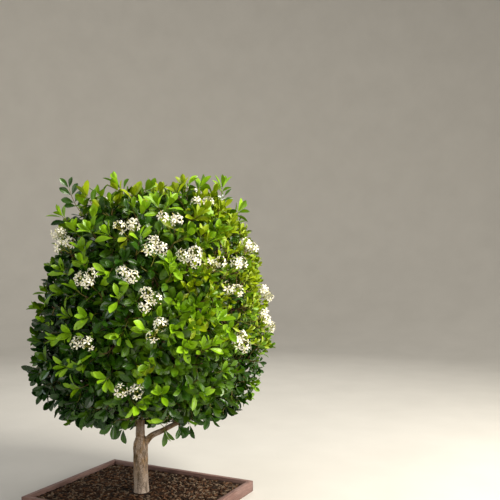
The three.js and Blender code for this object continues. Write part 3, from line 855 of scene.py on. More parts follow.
# Bark: one skin over the trunk and the boughs
def limb_skin():
    """The limbs as one closed skin, smoothed where they fork."""
    skin = add_mesh("limb_skin", tubes(limb_paths, limb_radii + SKIN["swell"], SKIN["sides"]), [])
    remesh = skin.modifiers.new("skin", "REMESH")
    remesh.mode = "VOXEL"
    remesh.voxel_size = SKIN["voxel"]
    smooth = skin.modifiers.new("soft", "SMOOTH")
    smooth.factor = SKIN["softness"]
    smooth.iterations = SKIN["smoothing"]
    depsgraph = bpy.context.evaluated_depsgraph_get()
    data = bpy.data.meshes.new_from_object(skin.evaluated_get(depsgraph))
    bpy.data.objects.remove(skin)
    return data


def limb_places(points):
    """For each point: its distance along the nearest limb, its turn round it, and the radius there."""
    tangents, sides, overs = (part.reshape(-1, 3) for part in frames_along(limb_paths))
    starts = PATTERN_SHIFT * np.arange(len(limb_paths))
    along = np.concatenate([start + lengths_along(path) for start, path in zip(starts, limb_paths)])
    nearest, _ = nearest_limb(points)
    offset = points - limb_paths.reshape(-1, 3)[nearest]
    turn = np.arctan2(np.sum(offset * overs[nearest], axis=1), np.sum(offset * sides[nearest], axis=1))
    beyond = np.sum(offset * tangents[nearest], axis=1)
    return along[nearest] + beyond, turn, limb_radii.ravel()[nearest]


def bark_relief(along, turn, radius, height):
    """How far the bark stands out: long ridges and cracks, lumps, and a lumpy root flare."""
    relief = np.empty(len(along))
    for k, (s, angle, r, z) in enumerate(zip(along, turn, radius, height)):
        x, y = math.cos(angle), math.sin(angle)
        ridges, cracks, lumps, roots = [
            noise.noise((x * across, y * across, s * lengthwise + shift))
            for across, lengthwise, shift in BARK_PATTERNS.values()
        ]
        ridges += RELIEF["cracks"] * cracks
        flare = max(0, 1 - (z - trunk_foot) / TRUNK["flare_height"])
        relief[k] = r * (RELIEF["ridges"] * ridges + RELIEF["lumps"] * lumps - RELIEF["inset"])
        relief[k] += RELIEF["roots"] * (roots * flare ** 2)
    return relief


def make_bark():
    data = limb_skin()
    points, normals = np.empty((2, len(data.vertices) * 3), np.float32)
    data.vertices.foreach_get("co", points)
    data.vertex_normals.foreach_get("vector", normals)
    points, normals = points.reshape(-1, 3).astype(float), normals.reshape(-1, 3)
    along, turn, radius = limb_places(points)
    points += normals * bark_relief(along, turn, radius, points[:, 2])[:, None]
    data.vertices.foreach_set("co", points.astype(np.float32).ravel())
    keep_places(data, "limb_place", np.column_stack([np.cos(turn) * radius, np.sin(turn) * radius, along]))
    data.polygons.foreach_set("use_smooth", np.full(len(data.polygons), True))
    data.materials.clear()
    data.materials.append(bark_material())
    data.update()
    bark = bpy.data.objects.new("trunk_and_boughs", data)
    bpy.context.collection.objects.link(bark)
    wooden = ["trunk", "bough_leader", *[f"bough_{mass.label}" for mass in masses if mass.fork < 1]]
    finish_piece(bark, wooden)


# Places that the photo shows
def seen_point(pixel, level):
    """Where the line of sight through a pixel meets the crown at a level, or comes nearest to it."""
    turn, tilt = math.radians(VIEW["turn"]), math.radians(VIEW["tilt"])
    forward = np.array([-math.sin(turn) * math.cos(tilt), math.cos(turn) * math.cos(tilt), math.sin(tilt)])
    right = np.array([math.cos(turn), math.sin(turn), 0])
    focal = VIEW["pixels"] * VIEW["lens"] / VIEW["sensor"]
    across, down = (np.array(pixel) - VIEW["pixels"] / 2) / focal
    sight = unit(forward + right * across - np.cross(right, forward) * down)
    points = VIEW["eye"] + sight * np.arange(VIEW["near"], VIEW["far"], VIEW["step"])[:, None]
    levels = level_of(points)
    inside = np.flatnonzero(levels <= level)
    return points[inside[0] if len(inside) else int(np.argmin(levels))]


def seen_relief(directions, places):
    """How far the crown's surface lies in or out at the places that the photo shows."""
    pixels, radii, amounts = zip(*places)
    centres = np.array([seen_point(pixel, RELIEF_LEVEL) for pixel in pixels])
    points = crown_point(directions, RELIEF_LEVEL)
    away = np.linalg.norm(points[:, None] - centres, axis=2) / radii
    return np.max(amounts * np.clip(1 - away ** 2, 0, 1), axis=1)


def hollow_depth(directions):
    """How much lower the leaves lie in the seen hollows and in soft dips all over, less the seen swells."""
    soft = np.array([noise.noise(tuple(direction * DIPS["scale"])) for direction in directions])
    dips = np.clip(soft * DIPS["depth"], DIPS["least"], DIPS["most"])
    return np.maximum(seen_relief(directions, HOLLOWS), dips) - seen_relief(directions, SWELLS)


# Twigs: branches from each mass's centre, offshoots on the branches, and leafy shoots on both
random = np.random.default_rng(20)


class Carriers:
    """Points on twigs that finer twigs can grow from."""

    def __init__(self):
        self.points, self.headings = np.empty((0, 3)), np.empty((0, 3))

    def add(self, paths, first_share):
        """Adds the points of the paths past their first share."""
        first = int(paths.shape[1] * first_share)
        headings = unit(np.gradient(paths, axis=1))
        self.points = np.vstack([self.points, paths[:, first:].reshape(-1, 3)])
        self.headings = np.vstack([self.headings, headings[:, first:].reshape(-1, 3)])

    def best(self, tip):
        """The carrier point to grow from: near, further in than the tip, and headed towards it."""
        away = tip - self.points
        reach = np.linalg.norm(away, axis=1)
        facing = np.sum(away * self.headings, axis=1) / np.maximum(reach, 1e-6)
        cost = reach * (FOOTHOLD["reach"] - FOOTHOLD["ahead"] * facing)
        cost += FOOTHOLD["near_cost"] * (reach < FOOTHOLD["near"])
        cost += FOOTHOLD["outside_cost"] * (level_of(self.points) > level_of(tip) - FOOTHOLD["inside"])
        k = int(np.argmin(cost))
        return self.points[k], self.headings[k]


def shoot_headings(directions, kind):
    """Shoots turn from their place on the globe towards the light."""
    heading = unit(directions * kind["outward"] + UP * (1 - kind["outward"]))
    return unit(heading + random.normal(0, kind["wander"], directions.shape))


def grow(tips, headings, carriers, count):
    """Smooth twigs from the carriers to the tips, each ending along its own heading."""
    (first_ahead, first_share), (last_ahead, last_share) = TWIG_BENDS["first"], TWIG_BENDS["last"]
    paths = []
    for tip, heading in zip(tips, headings):
        start, start_heading = carriers.best(tip)
        reach = np.linalg.norm(tip - start)
        ahead = (tip - start) / max(reach, 1e-6)
        first_bend = start + unit(start_heading + ahead * first_ahead) * reach * first_share
        last_bend = tip - unit(heading + ahead * last_ahead) * reach * last_share
        paths.append(bezier([start, first_bend, last_bend, tip], count))
    return np.array(paths)


def under_arch(points, hang=0.0):
    """True for points in the open arch under the crown, or more than hang below its top."""
    away = points[..., :2] - TRUNK_LEAN
    rise = ARCH["slope"] * np.linalg.norm(away, axis=-1)
    rise = rise + ARCH["front_slope"] * np.maximum(away @ np.array(ARCH["front"]), 0)
    return points[..., 2] < ARCH["middle"] + rise - hang


def make_branches(carriers):
    directions = spread_directions(BRANCHES["count"], 0)
    wobble = BRANCHES["wobble"]
    directions = unit(directions + random.uniform(-wobble, wobble, directions.shape) * (1, 1, 0))
    tips = crown_point(directions, BRANCHES["level"] + random.uniform(0, BRANCHES["spread"], len(directions)))
    paths = []
    for direction, tip in zip(directions, tips):
        if under_arch(tip):
            continue
        mass = mass_of(tip)
        first_bend = mass.centre + mass.stem_heading * BRANCHES["first_bend"]
        heading = unit(direction * SHOOT["outward"] + UP * SHOOT["upward"])
        last_bend = tip - heading * np.linalg.norm(tip - mass.centre) * BRANCHES["last_bend"]
        paths.append(bezier([mass.centre, first_bend, last_bend, tip], BRANCHES["steps"]))
    paths = np.array(paths)
    carriers.add(paths, BRANCHES["bare"])
    return tapered_tubes(paths, BRANCHES)


def make_offshoots(carriers):
    directions = spread_directions(OFFSHOOTS["count"], OFFSHOOTS["first_turn"])
    levels = OFFSHOOTS["level"] + random.uniform(-1, 1, len(directions)) * OFFSHOOTS["spread"]
    tips = crown_point(directions, levels)
    clear = ~under_arch(tips)
    paths = grow(tips[clear], shoot_headings(directions[clear], OFFSHOOTS), carriers, OFFSHOOTS["steps"])
    carriers.add(paths, OFFSHOOTS["bare"])
    return tapered_tubes(paths, OFFSHOOTS)


# Leaves: each row of numbers holds a leaf's root, direction, upper side, length, width, droop, tint and how
# far it may hang. All but the root start at these columns.
LEAF_COLUMNS = [3, 6, 9, 10, 11, 12, 13]
TINT_COLUMN = 12


def inside_box(points, room):
    """The points, moved where needed to lie at least this far inside the box of the solids."""
    return np.clip(points, np.array(cad_low) + room, np.array(cad_high) - room)


def leaves_kept(rows, hidden):
    """The leaves inside the solids' reach, above the arch, and clear of limbs and blossom."""
    root, along, facing, length, width, droop, _, hang = np.split(rows, LEAF_COLUMNS, axis=1)
    across = np.cross(facing, along)
    middle = root + along * length * 0.5
    tip = root + along * length - facing * length * droop
    probes = [tip, middle, middle + across * width / 2, middle - across * width / 2]
    keep = np.ones(len(rows), bool)
    for probe in probes:
        keep &= np.all(probe == inside_box(probe, ROOM["leaf_in_box"]), axis=1)
        keep &= ~hidden(probe) & ~under_arch(probe, hang[:, 0]) & ~hides_limbs(probe)
    gaps = np.min([nearest_limb(probe[keep])[1] for probe in probes], axis=0)
    keep[keep] &= gaps > ROOM["leaf_to_limb"]
    return rows[keep]


def leaf_outline(share):
    """Half the leaf's width along its length, as a share of the full width: widest past the middle, blunt."""
    return 0.5 * np.sin(math.pi * np.clip(share, 0, 1) ** 1.5) ** 0.72


def leaf_mesh(rows, across):
    """Leaves as meshes: a petiole point, rows of points across a folded, arching blade, and the tip."""
    root, along, facing, length, width, droop, *_ = np.split(rows[:, None], LEAF_COLUMNS, axis=2)
    stations = len(LEAF_STATIONS)
    s = np.concatenate([[0], np.repeat(LEAF_STATIONS, across), [1]])[:, None]
    t = np.concatenate([[0], np.tile(np.linspace(-1, 1, across), stations), [0]])[:, None]
    half = leaf_outline((s - LEAF["petiole"]) / (1 - LEAF["petiole"]))
    # The halves rise from the midrib and level off to the edges, and a drooping leaf reaches less far
    lift = LEAF["fold"] * (1.5 * np.abs(t) - 0.6 * t ** 2) * half * 2
    forward = s - 0.35 * droop * s ** 2
    points = root + along * forward * length + np.cross(facing, along) * (t * half * width)
    points = points + facing * (lift * width - droop * length * s ** 2)
    first, last, tip = 1, 1 + (stations - 1) * across, 1 + stations * across
    faces = []
    for k in range(across - 1):
        faces += [(0, first + k + 1, first + k), (last + k, last + k + 1, tip)]
        for a in range(first + k, last + k, across):
            faces += [(a, a + 1, a + across + 1), (a, a + across + 1, a + across)]
    return copies(points, faces)


def spray_tints(tips, kind):
    """The tint of each spray's new and old leaves. New leaves are paler than old ones of their own; within
    each age the tint is painted light and shade, brighter on top and on the street side, darker below.
    """
    directions = unit(tips - CROWN_CENTRE)
    # Painted light and shade: how far a spray faces the lit side, with some chance, picks its tint
    light = directions @ unit(LIT_SIDE) + random.normal(0, TINT_CHANCE["spray"], len(tips))
    # Painted bounce light: old leaves that face the sunlit paving take paler tints
    facing_paving_bounce = directions @ unit(PAVING_BOUNCE["towards"]) - PAVING_BOUNCE["least"]
    old_painted_light = light + PAVING_BOUNCE["gain"] * np.maximum(facing_paving_bounce, 0)
    if not kind["new_pairs"]:
        mature = np.digitize(old_painted_light, TINT_STEPS["mature"])
        return mature, mature
    new = np.digitize(light, TINT_STEPS["new"])
    old = np.digitize(old_painted_light + random.normal(0, TINT_CHANCE["old"], len(tips)), TINT_STEPS["old"])
    names = list(TINTS)
    young = (random.random(len(tips)) < YOUNG_SHARE) & (new < names.index("bright"))
    if kind is ROSETTES:
        young[:len(SEEN_ROSETTES)] = True
    new[young & (new > names.index("dark"))] = names.index("young")
    return new, old


def leaf_size(tips, kind):
    """Share of a full-sized leaf, smaller on the fine side's flank. Rosettes that the photo shows have their
    own."""
    beyond = unit(tips - CROWN_CENTRE) @ unit(FINE_SIDE["towards"]) - FINE_SIDE["least"]
    size = 1 - FINE_SIDE["shrink"] * np.clip(beyond / (FINE_SIDE["full"] - FINE_SIDE["least"]), 0, 1)
    if kind is ROSETTES:
        size[:len(SEEN_ROSETTES)] = SEEN_SIZE
    return size


def shoot_leaves(paths, kind, hang):
    """Opposite pairs of leaves down each shoot, each pair turned a quarter turn from the last."""
    count = len(paths)
    tips = paths[:, -1]
    lengths = np.linalg.norm(np.diff(paths, axis=1), axis=2).sum(axis=1)
    new_tint, old_tint = spray_tints(tips, kind)
    first_turn = random.uniform(0, math.pi, count)
    vigour = random.uniform(*CHANCE["vigour"], count) * leaf_size(tips, kind)
    open_side = unit(unit(tips - CROWN_CENTRE) + UP * TO_LIGHT["upward"])
    rows = []
    for number, (back, spread_angle, size) in enumerate(kind["pairs"]):
        age = "new" if number < kind["new_pairs"] else "old"
        droop_share = LEAF["droop_start"] + number * LEAF["droop_step"]
        roots, axes = along_paths(paths, 1 - back * random.uniform(*CHANCE["back"], count) / lengths)
        turn = first_turn + number * math.pi / 2 + random.normal(0, CHANCE["turn"], count)
        arms = turned(any_side(axes), axes, turn)
        openness = open_side * TO_LIGHT[age]
        if "open_side" in kind:
            arms = unit(np.cross(kind["open_side"], axes))
            openness = unit(kind["open_side"]) * TO_LIGHT["thin"]
        for hand in (1, -1):
            spread = np.radians(spread_angle + random.normal(0, CHANCE["spread"], count))[:, None]
            along = unit(axes * np.cos(spread) + arms * hand * np.sin(spread))
            if age == "old":
                along = unit(along - UP * random.uniform(*CHANCE["sink"], (count, 1)))
            facing = axes * np.sin(spread) - arms * hand * np.cos(spread) + openness
            facing = unit(facing - along * np.sum(facing * along, axis=1, keepdims=True))
            facing = turned(facing, along, random.normal(0, CHANCE[f"{age}_roll"], count))
            length = LEAF["length"] * size * vigour * random.uniform(*CHANCE["length"], count)
            width = length * LEAF[f"{age}_width"] * random.uniform(*CHANCE["width"], count)
            droop = LEAF["droop"] * random.uniform(*CHANCE["droop"], count) * droop_share
            tint = new_tint if age == "new" else old_tint
            leaves = np.column_stack([roots, along, facing, length, width, droop, tint, hang])
            rows.append(leaves[random.random(count) < CHANCE["grown"]])
    return np.vstack(rows)


# Blossom
def blossom_directions():
    """Clusters where the seen side has them, and spread over the rest of the crown above its skirt."""
    directions = [direction_of(bearing, rise) for bearing, rise in BLOSSOM_PLACES]
    seen = direction_of(BLOSSOM_SPREAD["bearing"], 0)
    lowest = math.sin(math.radians(BLOSSOM_SPREAD["lowest_rise"]))
    for direction in spread_directions(BLOSSOM_SPREAD["count"], BLOSSOM_SPREAD["first_turn"]):
        if direction @ seen <= BLOSSOM_SPREAD["cone_cosine"] and direction[2] > lowest:
            directions.append(direction)
    return np.array(directions)


def flower_mesh(centres, facings, sizes):
    """Star-shaped flowers of narrow petals that spread wide."""
    start = turned(any_side(facings), facings, random.uniform(0, math.tau, len(centres)))
    parts = []
    for petal in range(FLOWERS["petals"]):
        chance = random.normal(0, BLOSSOM_CHANCE["petal_turn"], len(centres))
        out = turned(start, facings, math.tau * petal / FLOWERS["petals"] + chance)
        out = unit(out + facings * random.uniform(*BLOSSOM_CHANCE["petal_rise"], (len(centres), 1)))
        side = np.cross(facings, out)
        axes = np.stack([out, side, np.cross(out, side)], axis=1)
        parts.append(copies(centres[:, None] + PETAL_POINTS @ axes * sizes[:, None, None], PETAL_FACES))
    return joined(parts)


def bud_mesh(starts, headings, lengths, radii):
    """Closed buds: short spindles."""
    shares = np.array([0, 0.25, 0.6, 0.88, 1.0])
    swell = np.array([0.35, 0.85, 1.0, 0.6, 0.08])
    paths = starts[:, None] + headings[:, None] * (lengths[:, None] * shares)[..., None]
    return tubes(paths, radii[:, None] * swell, FLOWERS["bud_sides"])


def stalk_mesh(stalks):
    """Thin stalks that sag a little."""
    taper = np.array([1.1, 1, 1, 0.9])
    paths = []
    for start, end, _ in stalks:
        middle = (start + end) / 2 - UP * FLOWERS["sag"] * np.linalg.norm(end - start)
        paths.append(bezier([start, middle, end], len(taper)))
    radii = np.array([radius for *_, radius in stalks])
    return tubes(np.array(paths), radii[:, None] * taper, FLOWERS["stalk_sides"])


def add_ball(heart, base, axis, place, flowers, buds, stalks):
    """A ball of flowers and a few buds, each on its stalk from the ball's base."""
    count = int(random.integers(*BLOSSOM["flowers"]))
    over = np.cross(axis, place)
    for k in range(count):
        lift = 1 - BLOSSOM["covered"] * (k + 0.5) / count
        turn = k * math.radians(GOLDEN_TURN)
        flat = math.sqrt(max(0, 1 - lift * lift))
        ray = axis * lift + (place * math.cos(turn) + over * math.sin(turn)) * flat
        ray = unit(ray + random.normal(0, BLOSSOM_CHANCE["ray"], 3))
        spot = heart + ray * BLOSSOM["ball"] * random.uniform(*BLOSSOM_CHANCE["reach"])
        spot = inside_box(spot, BLOSSOM["flower"])
        stalks.append((base, spot - ray * FLOWERS["below"], FLOWERS["fine_stalk"]))
        if random.random() < FLOWERS["open"]:
            flowers.append((spot, ray, BLOSSOM["flower"] * random.uniform(*BLOSSOM_CHANCE["flower"])))
        else:
            length = random.uniform(*BLOSSOM_CHANCE["bud"])
            buds.append((spot - ray * FLOWERS["bud_below"], ray, length, FLOWERS["bud"]))


def make_blossom(carriers):
    """Each cluster is two or three balls of flowers on forked stalks, at the tip of its own shoot."""
    clusters = blossom_directions()
    hearts = crown_point(clusters, BLOSSOM["level"])
    axes = unit(clusters * BLOSSOM["outward"] + UP * BLOSSOM["upward"])
    feet = hearts - axes * BLOSSOM["stalk"]
    flowers, buds, stalks = [], [], []
    for centre, axis, foot in zip(hearts, axes, feet):
        side = turned(unit(np.cross(axis, UP)), axis, random.normal(0, BLOSSOM_CHANCE["side"]))
        balls = 3 if random.random() < BLOSSOM["third_ball"] else 2
        for ball in range(balls):
            place = turned(side, axis, math.tau * ball / balls)
            heart = centre + place * BLOSSOM["apart"] * random.uniform(*BLOSSOM_CHANCE["apart"])
            heart = heart - axis * random.uniform(*BLOSSOM_CHANCE["back"])
            base = heart - unit(axis + place * BLOSSOM["fork"]) * BLOSSOM["ball"]
            stalks.append((foot, base, FLOWERS["stalk"]))
            add_ball(heart, base, axis, place, flowers, buds, stalks)
    petals = flower_mesh(*map(np.array, zip(*flowers)))
    for spot, ray, _ in flowers:
        buds.append((spot - ray * FLOWERS["below"], ray, FLOWERS["heart"], FLOWERS["bud"]))
    shoots = grow(feet, axes, carriers, LEAFY_SHOOT["steps"])
    return petals, bud_mesh(*map(np.array, zip(*buds))), stalk_mesh(stalks), shoots, clusters


def blossom_hides(clusters):
    """A test for points inside a blossom cluster or right in front of it."""
    centres = crown_point(clusters, BLOSSOM["level"])

    def hidden(points):
        away = points[:, None] - centres
        outward = np.sum(away * clusters, axis=2)
        sideways = np.linalg.norm(away - outward[..., None] * clusters, axis=2)
        in_depth = (outward > -BLOSSOM_ROOM["behind"]) & (outward < BLOSSOM_ROOM["before"])
        return np.any(in_depth & (sideways < BLOSSOM_ROOM["beside"]), axis=1)

    return hidden


# Shoots of each kind: their tips, and how far their leaves may hang under the arch
def kind_directions(kind):
    directions = spread_directions(kind["count"], kind["first_turn"])
    return unit(directions + random.normal(0, kind["wobble"], directions.shape))


def kind_tips(kind, directions):
    levels = kind["level"] + random.uniform(-1, 1, len(directions)) * kind["spread"]
    return crown_point(directions, levels - hollow_depth(directions))


def rosette_shoots():
    """The rosettes that the photo shows, others by rule that keep clear of them, and proud ones."""
    seen = np.array([seen_point(pixel, ROSETTES["level"]) for pixel in SEEN_ROSETTES])
    directions = kind_directions(ROSETTES)
    tips = kind_tips(ROSETTES, directions)
    sunward = directions @ unit(LIT_SIDE)
    facing_eye = directions @ unit(VIEW["eye"] - CROWN_CENTRE)
    at_left = (facing_eye > ROSETTE_SHARE["facing"]) & (sunward < ROSETTE_SHARE["sunny"])
    elsewhere = ROSETTE_SHARE["elsewhere"] + ROSETTE_SHARE["to_light"] * sunward
    share = np.where(at_left, ROSETTE_SHARE["seen"], elsewhere)
    share *= 1 - ROSETTE_SHARE["low"] * np.maximum(-directions[:, 2] - ROSETTE_SHARE["low_rise"], 0)
    clear = np.linalg.norm(tips[:, None] - seen, axis=2).min(axis=1) > SEEN_SPACING
    clear &= seen_relief(directions, HOLLOWS) < ROSETTE_SHARE["hollow"]
    tips = tips[clear & (random.random(len(tips)) < share) & ~under_arch(tips)]
    proud = np.array([
        crown_point(direction_of(bearing, rise), level - PROUD_LEAVES)
        for bearing, rise, level in PROUD_SHOOTS
    ])
    hang = np.repeat([HANG["plain"], HANG["proud"]], [len(seen) + len(tips), len(proud)])
    return np.vstack([seen, tips, proud]), hang


def spread_shoots(kind):
    directions = kind_directions(kind)
    if kind is FINE:
        directions = directions[directions @ unit(FINE_SIDE["towards"]) > FINE_SIDE["least"]]
    rise = directions[:, 2]
    directions = directions[(rise < kind.get("highest", 1)) & (rise > kind.get("lowest", -1))]
    tips = kind_tips(kind, directions)
    tips = tips[~under_arch(tips)]
    return tips, np.full(len(tips), HANG["plain"])


def tips_of(kind):
    if kind is ROSETTES:
        return rosette_shoots()
    if kind is HANGING:
        tips = np.array([seen_point(pixel, SIGHT_LEVEL) for pixel in SEEN_HANGING])
        return tips, np.full(len(tips), HANG["proud"])
    return spread_shoots(kind)


def sprig_paths():
    """The thin sprig above the crown's shoulder, and like ones all round."""
    seen = catmull_rom([seen_point(pixel, SIGHT_LEVEL) for pixel in SEEN_SPRIG], LEAFY_SHOOT["steps"])
    away = seen - CROWN_CENTRE
    first = math.degrees(math.atan2(away[0, 1], away[0, 0]))
    others = [CROWN_CENTRE + turned(away, UP, math.radians(bearing - first)) for bearing in SPRIG_BEARINGS]
    return np.array([seen, *others])


def make_crown():
    """Twigs, leaves and blossom together, since each grows on the last."""
    carriers = Carriers()
    twigs = [make_branches(carriers), make_offshoots(carriers)]
    petals, buds, stalks, blossom_paths, clusters = make_blossom(carriers)
    in_blossom = blossom_hides(clusters)
    shoots, tinted = [], {tint: [] for tint in TINTS}
    for kind in (BLOSSOM_SHOOTS, ROSETTES, FINE, MATURE, INNER, SKIRT, HANGING, SPRIGS):
        if kind in (BLOSSOM_SHOOTS, SPRIGS):
            paths = blossom_paths if kind is BLOSSOM_SHOOTS else sprig_paths()
            hang = np.full(len(paths), HANG["plain"])
        else:
            tips, hang = tips_of(kind)
            tips = inside_box(tips, ROOM["tip_in_box"])
            headings = shoot_headings(unit(tips - CROWN_CENTRE), kind)
            if kind is HANGING:
                headings = unit(headings - UP * DOWN_TURN)
            paths = grow(tips, headings, carriers, LEAFY_SHOOT["steps"])
        shoots.append(tapered_tubes(paths, LEAFY_SHOOT))
        rows = leaves_kept(shoot_leaves(paths, kind, hang), in_blossom)
        for number, tint in enumerate(TINTS):
            chosen = rows[rows[:, TINT_COLUMN] == number]
            if len(chosen):
                tinted[tint].append(leaf_mesh(chosen, kind["across"]))
    return twigs, shoots, tinted, petals, buds, stalks


def make_foliage():
    twigs, shoots, tinted, petals, buds, stalks = make_crown()
    white = blossom_material("petal", (222, 218, 200), (238, 236, 224), 0.55)
    cream = blossom_material("bud", (205, 198, 100), (236, 230, 160), 0.5)
    green = blossom_material("stalk", (140, 142, 40), (186, 178, 74), 0.5)
    pieces = [
        ("twigs", joined(twigs), twig_material(), "bark"),
        ("shoots", joined(shoots), shoot_material(), "bark"),
    ]
    for tint, parts in tinted.items():
        pieces.append((f"leaves_{tint}", joined(parts), leaf_material(tint), "foliage"))
    pieces += [
        ("blossom", petals, white, "foliage"),
        ("blossom_buds", buds, cream, "foliage"),
        ("blossom_stalks", stalks, green, "foliage"),
    ]
    foliage = [f"foliage_{mass.label}" for mass in masses]
    for name, mesh, material, slot_name in pieces:
        finish_piece(add_mesh(name, mesh, [material]), foliage)


# The planter: four mitred boards on a floor board
def board_section(height):
    """Outline of a board across its length, with worn corners: (outward, up) pairs."""
    thickness, chamfer, rounding = BOARD["thickness"], BOARD["chamfer"], BOARD["rounding"]
    ends = np.array([(-thickness, 0), (0, 0), (0, height), (-thickness, height)])
    middle = np.array([-thickness / 2, height / 2])
    outline = []
    for corner, before, after in zip(ends, np.roll(ends, 1, axis=0), np.roll(ends, -1, axis=0)):
        for share, other in ((1, before), (rounding, before), (rounding, after), (1, after)):
            step = unit(other - corner) * chamfer * share
            pull = 0 if share == 1 else BOARD["pull"] * chamfer
            outline.append(corner + step + np.sign(middle - corner) * pull * (step == 0))
    return np.array(outline)


def finish_board(name, mesh, places, material, smooth):
    board = add_mesh(name, mesh, [material], smooth=smooth)
    keep_places(board.data, "board_place", places)
    finish_piece(board, ["planter"])


def make_board(name, half_length, face, turn, height, material):
    """A board whose outer face lies at distance face from the middle, with 45 degree mitres at its ends."""
    section = board_section(height)
    shares = np.linspace(-1, 1, int(2 * half_length / BOARD["step"]))
    points, places = [], []
    for share in shares:
        for outward, up in section:
            x = share * (half_length + outward - BOARD["seam"])
            long_wave = noise.noise((x * WEAR["long"], turn, 3)) * WEAR["long_depth"]
            short_wave = noise.noise((x * WEAR["short"], turn, up * WEAR["across"])) * WEAR["short_depth"]
            worn = -abs(long_wave + short_wave) - WEAR["least"]
            y = face + outward + (worn if outward > -BOARD["thickness"] / 2 else -worn)
            points.append((x, -y, up + (worn if up > height / 2 else 0)))
            places.append((x + turn, outward, up))
    faces = tube_faces(1, len(shares), len(section))[:, ::-1]
    points = turned(np.array(points), UP, math.radians(turn))
    finish_board(name, (points, faces), places, material, True)


def make_floor_board(half_x, half_y, material):
    """The thin floor of the planter, a hair inside its boards."""
    top = FLOOR["thickness"]
    section = [(-half_y, 0.0), (half_y, 0.0), (half_y, top), (-half_y, top)]
    steps = np.linspace(-half_x, half_x, FLOOR["steps"])
    points = np.array([(x, y, z) for x in steps for y, z in section])
    faces = tube_faces(1, len(steps), len(section))
    finish_board("board_floor", (points, faces), points, material, False)


def make_planter():
    low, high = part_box("planter")
    half_x, half_y, height = high[0], high[1], high[2] - low[2]
    material = wood_material()
    for number, side in enumerate(("front", "right", "back", "left")):
        half_length, face = (half_x, half_y) if number % 2 == 0 else (half_y, half_x)
        make_board(f"board_{side}", half_length, face, 90 * number, height, material)
    make_floor_board(half_x - BOARD["thickness"], half_y - BOARD["thickness"], material)


# Mulch: an uneven bed with loose bark chips on it
def mulch_height(x, y):
    coarse, fine = MULCH["coarse"], MULCH["fine"]
    bumps = noise.noise((x * coarse, y * coarse, 0))
    bumps += MULCH["fine_share"] * noise.noise((x * fine, y * fine, 5))
    heap = math.exp(-((math.hypot(x, y) / MULCH["heap_radius"]) ** 2))
    return SOIL_TOP - MULCH["low"] + MULCH["bumps"] * bumps + MULCH["heap"] * heap


def mulch_bed(half_x, half_y, bottom):
    """Closed block with an uneven top."""
    columns, rows = int(2 * half_x / MULCH["cell"]), int(2 * half_y / MULCH["cell"])
    xs, ys = np.linspace(-half_x, half_x, columns), np.linspace(-half_y, half_y, rows)
    top = np.array([(x, y, mulch_height(x, y)) for x in xs for y in ys])
    base = top * (1, 1, 0) + (0, 0, bottom)
    index = np.arange(columns * rows).reshape(columns, rows)
    a, b, c, d = index[:-1, :-1], index[1:, :-1], index[1:, 1:], index[:-1, 1:]
    cells = np.vstack([as_triangles(a, b, c), as_triangles(a, c, d)])
    rim = np.concatenate([index[:-1, 0], index[-1, :-1], index[:0:-1, -1], index[0, :0:-1]])
    after = np.roll(rim, -1)
    shift = len(top)
    walls = [as_triangles(rim, rim + shift, after + shift), as_triangles(rim, after + shift, after)]
    return np.vstack([top, base]), np.vstack([cells, cells[:, ::-1] + shift, *walls])


CHIP_CORNERS = np.array([(x, y, z) for x in (-1, 0, 1) for y in (-1, 1) for z in (-1, 1)], float)
CHIP_FACES = [(0, 1, 3), (0, 3, 2), (8, 11, 9), (8, 10, 11)]
for start in (0, 4):
    for p, q in ((0, 1), (1, 3), (3, 2), (2, 0)):
        CHIP_FACES += [(start + p, start + 4 + p, start + 4 + q), (start + p, start + 4 + q, start + q)]


def mulch_chips(half_x, half_y):
    """Bark chips: flat, slightly bent slivers that lie at small slants."""
    x, y = (
        random.uniform(-half + CHIPS["from_boards"], half - CHIPS["from_boards"], CHIPS["count"])
        for half in (half_x, half_y)
    )
    clear = np.hypot(x, y) > CHIPS["from_trunk"]
    x, y = x[clear], y[clear]
    count = len(x)
    half = np.column_stack([
        random.uniform(*CHIPS[size], count) for size in ("half_length", "half_width", "half_thickness")
    ])
    local = CHIP_CORNERS * half[:, None]
    to_end = np.abs(CHIP_CORNERS[:, 0])
    local[:, :, 2] += (1 - to_end) * half[:, None, 0] * random.uniform(*CHIPS["bend"], (count, 1))
    local[:, :, 1] *= 1 - CHIPS["narrower"] * to_end * random.random((count, 1))
    normal = unit(UP + random.normal(0, CHIPS["tilt"], (count, 3)))
    axis = turned(any_side(normal), normal, random.uniform(0, math.tau, count))
    ground = np.array([mulch_height(a, b) for a, b in zip(x, y)]) + random.uniform(*CHIPS["lift"], count)
    axes = np.stack([axis, np.cross(normal, axis), normal], axis=1)
    points = np.column_stack([x, y, ground])[:, None] + local @ axes
    shade = np.repeat(random.integers(1, len(MULCH_COLOURS), count), len(CHIP_FACES))
    return copies(points, CHIP_FACES), shade


def make_soil():
    low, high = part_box("soil")
    bed = mulch_bed(high[0], high[1], low[2])
    chips, shades = mulch_chips(high[0], high[1])
    looks = [mulch_material(name) for name in MULCH_COLOURS]
    face_materials = np.concatenate([np.zeros(len(bed[1]), int), shades])
    soil = add_mesh("mulch", joined([bed, chips]), looks, face_materials, smooth=False)
    finish_piece(soil, ["soil"])


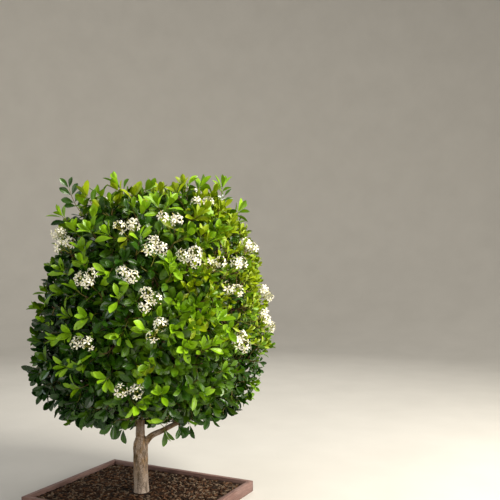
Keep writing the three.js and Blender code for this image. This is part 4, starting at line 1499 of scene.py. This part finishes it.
# Studio: floor and backdrop, soft light and the camera
def make_stage():
    flat, curve = STUDIO["flat"][-1], STUDIO["curve"]
    profile = [(radius, 0.0) for radius in STUDIO["flat"]]
    for angle in np.linspace(0, math.pi / 2, STUDIO["curve_steps"] + 1)[1:]:
        profile.append((flat + curve * math.sin(angle), curve * (1 - math.cos(angle))))
    profile.append((flat + curve, STUDIO["wall"]))
    sides = STUDIO["sides"]
    turns = math.tau * np.arange(sides) / sides
    points = [(0.0, 0.0, 0.0)]
    for radius, height in profile:
        points += [(radius * math.cos(turn), radius * math.sin(turn), height) for turn in turns]
    index = 1 + np.arange(len(profile) * sides).reshape(-1, sides)
    after = np.roll(index, -1, axis=1)
    faces = [
        as_triangles(np.zeros(sides, int), index[0], after[0]),
        as_triangles(index[:-1], index[1:], after[1:]),
        as_triangles(index[:-1], after[1:], after[:-1]),
    ]
    add_mesh("studio", (np.array(points), np.vstack(faces)), [floor_material()])


def add_light(name, place, target, size, power, colour):
    data = bpy.data.lights.new(name, "AREA")
    data.shape = "DISK"
    data.size = size
    data.energy = power
    data.color = colour
    light = bpy.data.objects.new(name, data)
    bpy.context.collection.objects.link(light)
    light.location = place
    heading = unit(np.array(target) - place)
    light.rotation_euler = (math.acos(-heading[2]), 0, math.atan2(heading[0], -heading[1]) + math.pi)


def make_light():
    world = bpy.data.worlds.new("studio_air")
    bpy.context.scene.world = world
    world.use_nodes = True
    background = world.node_tree.nodes["Background"]
    background.inputs["Color"].default_value = AIR["colour"]
    background.inputs["Strength"].default_value = AIR["strength"]
    for name, values in LIGHTS.items():
        add_light(name, *values)


def make_camera():
    data = bpy.data.cameras.new("camera")
    data.sensor_width = VIEW["sensor"]
    data.lens = VIEW["lens"]
    camera = bpy.data.objects.new("camera", data)
    bpy.context.collection.objects.link(camera)
    camera.location = VIEW["eye"]
    camera.rotation_euler = (math.radians(90 + VIEW["tilt"]), 0, math.radians(VIEW["turn"]))
    bpy.context.scene.camera = camera
    bpy.context.scene.view_settings.view_transform = "Standard"


make_bark()
make_foliage()
make_planter()
make_soil()
make_stage()
make_light()
make_camera()
